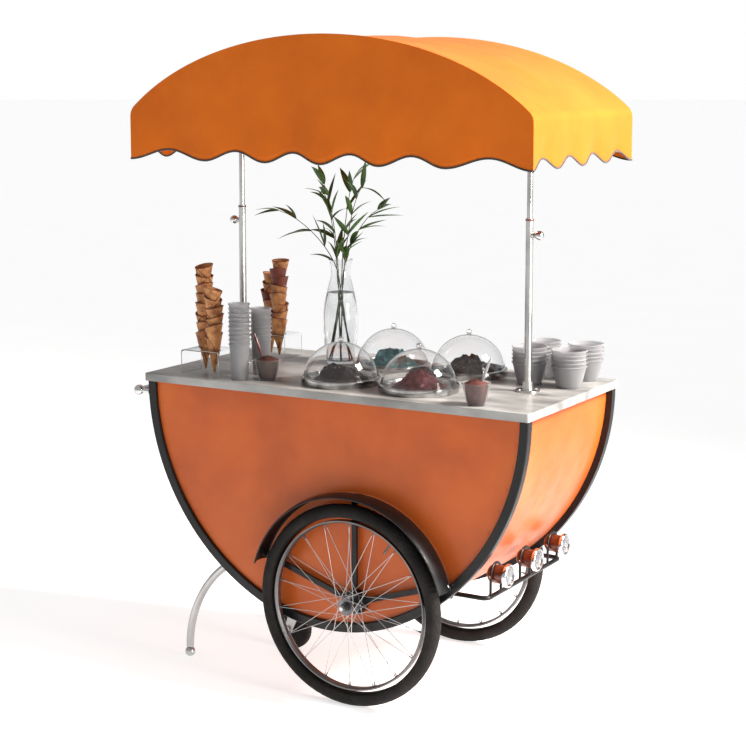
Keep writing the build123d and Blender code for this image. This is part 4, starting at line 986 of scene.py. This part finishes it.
def branches(x, y, base, height):
    """Leafy twigs that stand in the vase and arch outwards."""
    random.seed(21)
    stems, leaves = bmesh.new(), bmesh.new()
    for index, (dx, dy, rise) in enumerate(TWIGS):
        turn = 2 * math.pi * index / len(TWIGS)
        foot = Vector((x + 0.03 * math.cos(turn), y + 0.03 * math.sin(turn), base + 0.012))
        cross = turn + 2.5
        neck = Vector((x + 0.010 * math.cos(cross), y + 0.010 * math.sin(cross), base + height * 0.80))
        tip = Vector((x + dx, y + dy, base + height + rise))
        points = []
        for step in range(19):
            t = step / 18
            if t < 0.45:
                points.append(foot.lerp(neck, t / 0.45))
            else:
                s = (t - 0.45) / 0.55
                up = neck + Vector((0, 0, 1)) * (tip.z - neck.z) * (1 - (1 - s) ** 1.35)
                bent_x = neck.x + (tip.x - neck.x) * s**1.5
                bent_y = neck.y + (tip.y - neck.y) * s**1.5
                points.append(Vector((bent_x, bent_y, up.z)))
        add_tube(stems, points, [0.0022 - 0.0012 * s / 18 for s in range(19)], 7)
        for step in range(10, 19, 2):
            ahead = (points[min(step + 1, 18)] - points[step - 1]).normalized()
            for sign in (-1, 1):
                spread = random.uniform(0.35, 0.85) * sign
                tilt = Vector((random.uniform(-0.5, 0.5), random.uniform(-0.5, 0.5), 1))
                axis = tilt.cross(ahead).normalized()
                way = (Matrix.Rotation(spread, 3, axis) @ ahead)
                way = (Matrix.Rotation(random.uniform(0, 6.28), 3, ahead) @ way)
                size = random.uniform(0.075, 0.125)
                way.z = min(way.z, (LEAF_TOP - points[step].z) / size)
                add_leaf(leaves, points[step], way, size, random.uniform(0.014, 0.021),
                         size * random.uniform(0.05, 0.4), random.uniform(-0.6, 0.6))
    finish_mesh(stems, "twig_stems", "twig", "cart")
    finish_mesh(leaves, "twig_leaves", "leaf", "cart")


def pole_trim():
    """Dark red bushes where the upper tubes enter the lower ones."""
    mesh = bmesh.new()
    for lo, hi in island_boxes("lower_poles"):
        if hi.z - lo.z > 0.05:
            continue
        place = upright((lo.x + hi.x) / 2, (lo.y + hi.y) / 2, lo.z)
        radius = (hi.x - lo.x) / 2
        inside = radius - 0.003
        profile = [(inside, -0.0004), (radius + 0.0004, -0.0004), (radius + 0.0006, 0.002),
                   (radius - 0.0005, 0.0056), (inside, 0.006), (inside, -0.0004)]
        add_lathe(mesh, profile, place, 32)
    finish_mesh(mesh, "pole_bush_caps", "bush", "cart")


# ------------------------------------------------------------------ stage, light and camera
FLOOR_HALF = 200
FLOOR_GLOW = 0.62
AMBIENT = 0.47


def area_light(name, place, target, size, power, colour, spread):
    data = bpy.data.lights.new(name, "AREA")
    data.shape = "RECTANGLE"
    data.size, data.size_y = size
    data.energy = power
    data.color = colour
    data.spread = spread
    obj = bpy.data.objects.new(name, data)
    obj.location = place
    obj.rotation_euler = (Vector(target) - Vector(place)).to_track_quat("-Z", "Y").to_euler()
    bpy.context.scene.collection.objects.link(obj)


def stage():
    mesh = bmesh.new()
    bmesh.ops.create_grid(mesh, x_segments=8, y_segments=8, size=FLOOR_HALF)
    data = bpy.data.meshes.new("floor")
    mesh.to_mesh(data)
    mesh.free()
    floor = bpy.data.objects.new("floor", data)
    floor.location.z = -0.0005
    bpy.context.scene.collection.objects.link(floor)
    pale = surface("pale_floor", shades((0.70, 0.70, 0.70), (0.73, 0.73, 0.73)), 2,
                   rough=(0.8, 0.9), bump=(0.02, 0.0005, 30), specular=0.2)
    glow = pale.node_tree.nodes["Principled BSDF"]
    glow.inputs["Emission Color"].default_value = (1, 1, 1, 1)
    glow.inputs["Emission Strength"].default_value = FLOOR_GLOW
    data.materials.append(pale)
    world = bpy.data.worlds.new("studio")
    bpy.context.scene.world = world
    world.use_nodes = True
    nodes, links = world.node_tree.nodes, world.node_tree.links
    back = nodes["Background"]
    back.inputs["Color"].default_value = (1, 1, 1, 1)
    back.inputs["Strength"].default_value = AMBIENT
    seen = nodes.new("ShaderNodeBackground")
    seen.inputs["Color"].default_value = (1, 1, 1, 1)
    seen.inputs["Strength"].default_value = 1.0
    path = nodes.new("ShaderNodeLightPath")
    mix = nodes.new("ShaderNodeMixShader")
    links.new(path.outputs["Is Camera Ray"], mix.inputs["Fac"])
    links.new(back.outputs["Background"], mix.inputs[1])
    links.new(seen.outputs["Background"], mix.inputs[2])
    links.new(mix.outputs["Shader"], nodes["World Output"].inputs["Surface"])
    area_light("key", (4.2, 0.9, 4.0), (CENTRE_X + 0.3, 0, 1.2), (1.6, 1.6), 135, (1.0, 0.93, 0.88), 1.2)
    area_light("rim_light", (4.6, -0.6, 1.3), (CENTRE_X, 0.1, 0.7), (1.2, 1.6), 26, (1.0, 0.95, 0.88), 1.2)


CAMERA_YAW = 30.417
CAMERA_PITCH = 7.936
CAMERA_PLACE = (2.6762, -4.5953, 1.8502)
CAMERA_LENS = 85.353
CAMERA_SHIFT = -0.0804


def camera():
    data = bpy.data.cameras.new("camera")
    data.lens = CAMERA_LENS
    data.sensor_width = 36
    data.shift_y = CAMERA_SHIFT
    data.clip_end = 100
    obj = bpy.data.objects.new("camera", data)
    obj.location = (CAMERA_PLACE[0] + CENTRE_X, CAMERA_PLACE[1], CAMERA_PLACE[2])
    obj.rotation_euler = (math.radians(90 - CAMERA_PITCH), 0, math.radians(CAMERA_YAW))
    bpy.context.scene.collection.objects.link(obj)
    bpy.context.scene.camera = obj
    bpy.context.scene.view_settings.view_transform = "Standard"


camera()
stage()
paint_frame()
canopy_cover()
for side_name in ("right", "left"):
    tyre(side_name)
    nipples(side_name)
    fender_bolts(side_name)
for lamp_name in ("right", "middle", "left"):
    lamp(lamp_name)
for tray_number in (1, 2, 3, 4):
    tray_and_dome(tray_number)
cup_stacks()
filled_cups()
cone_stacks()
cone_holders()
vase()
pole_trim()
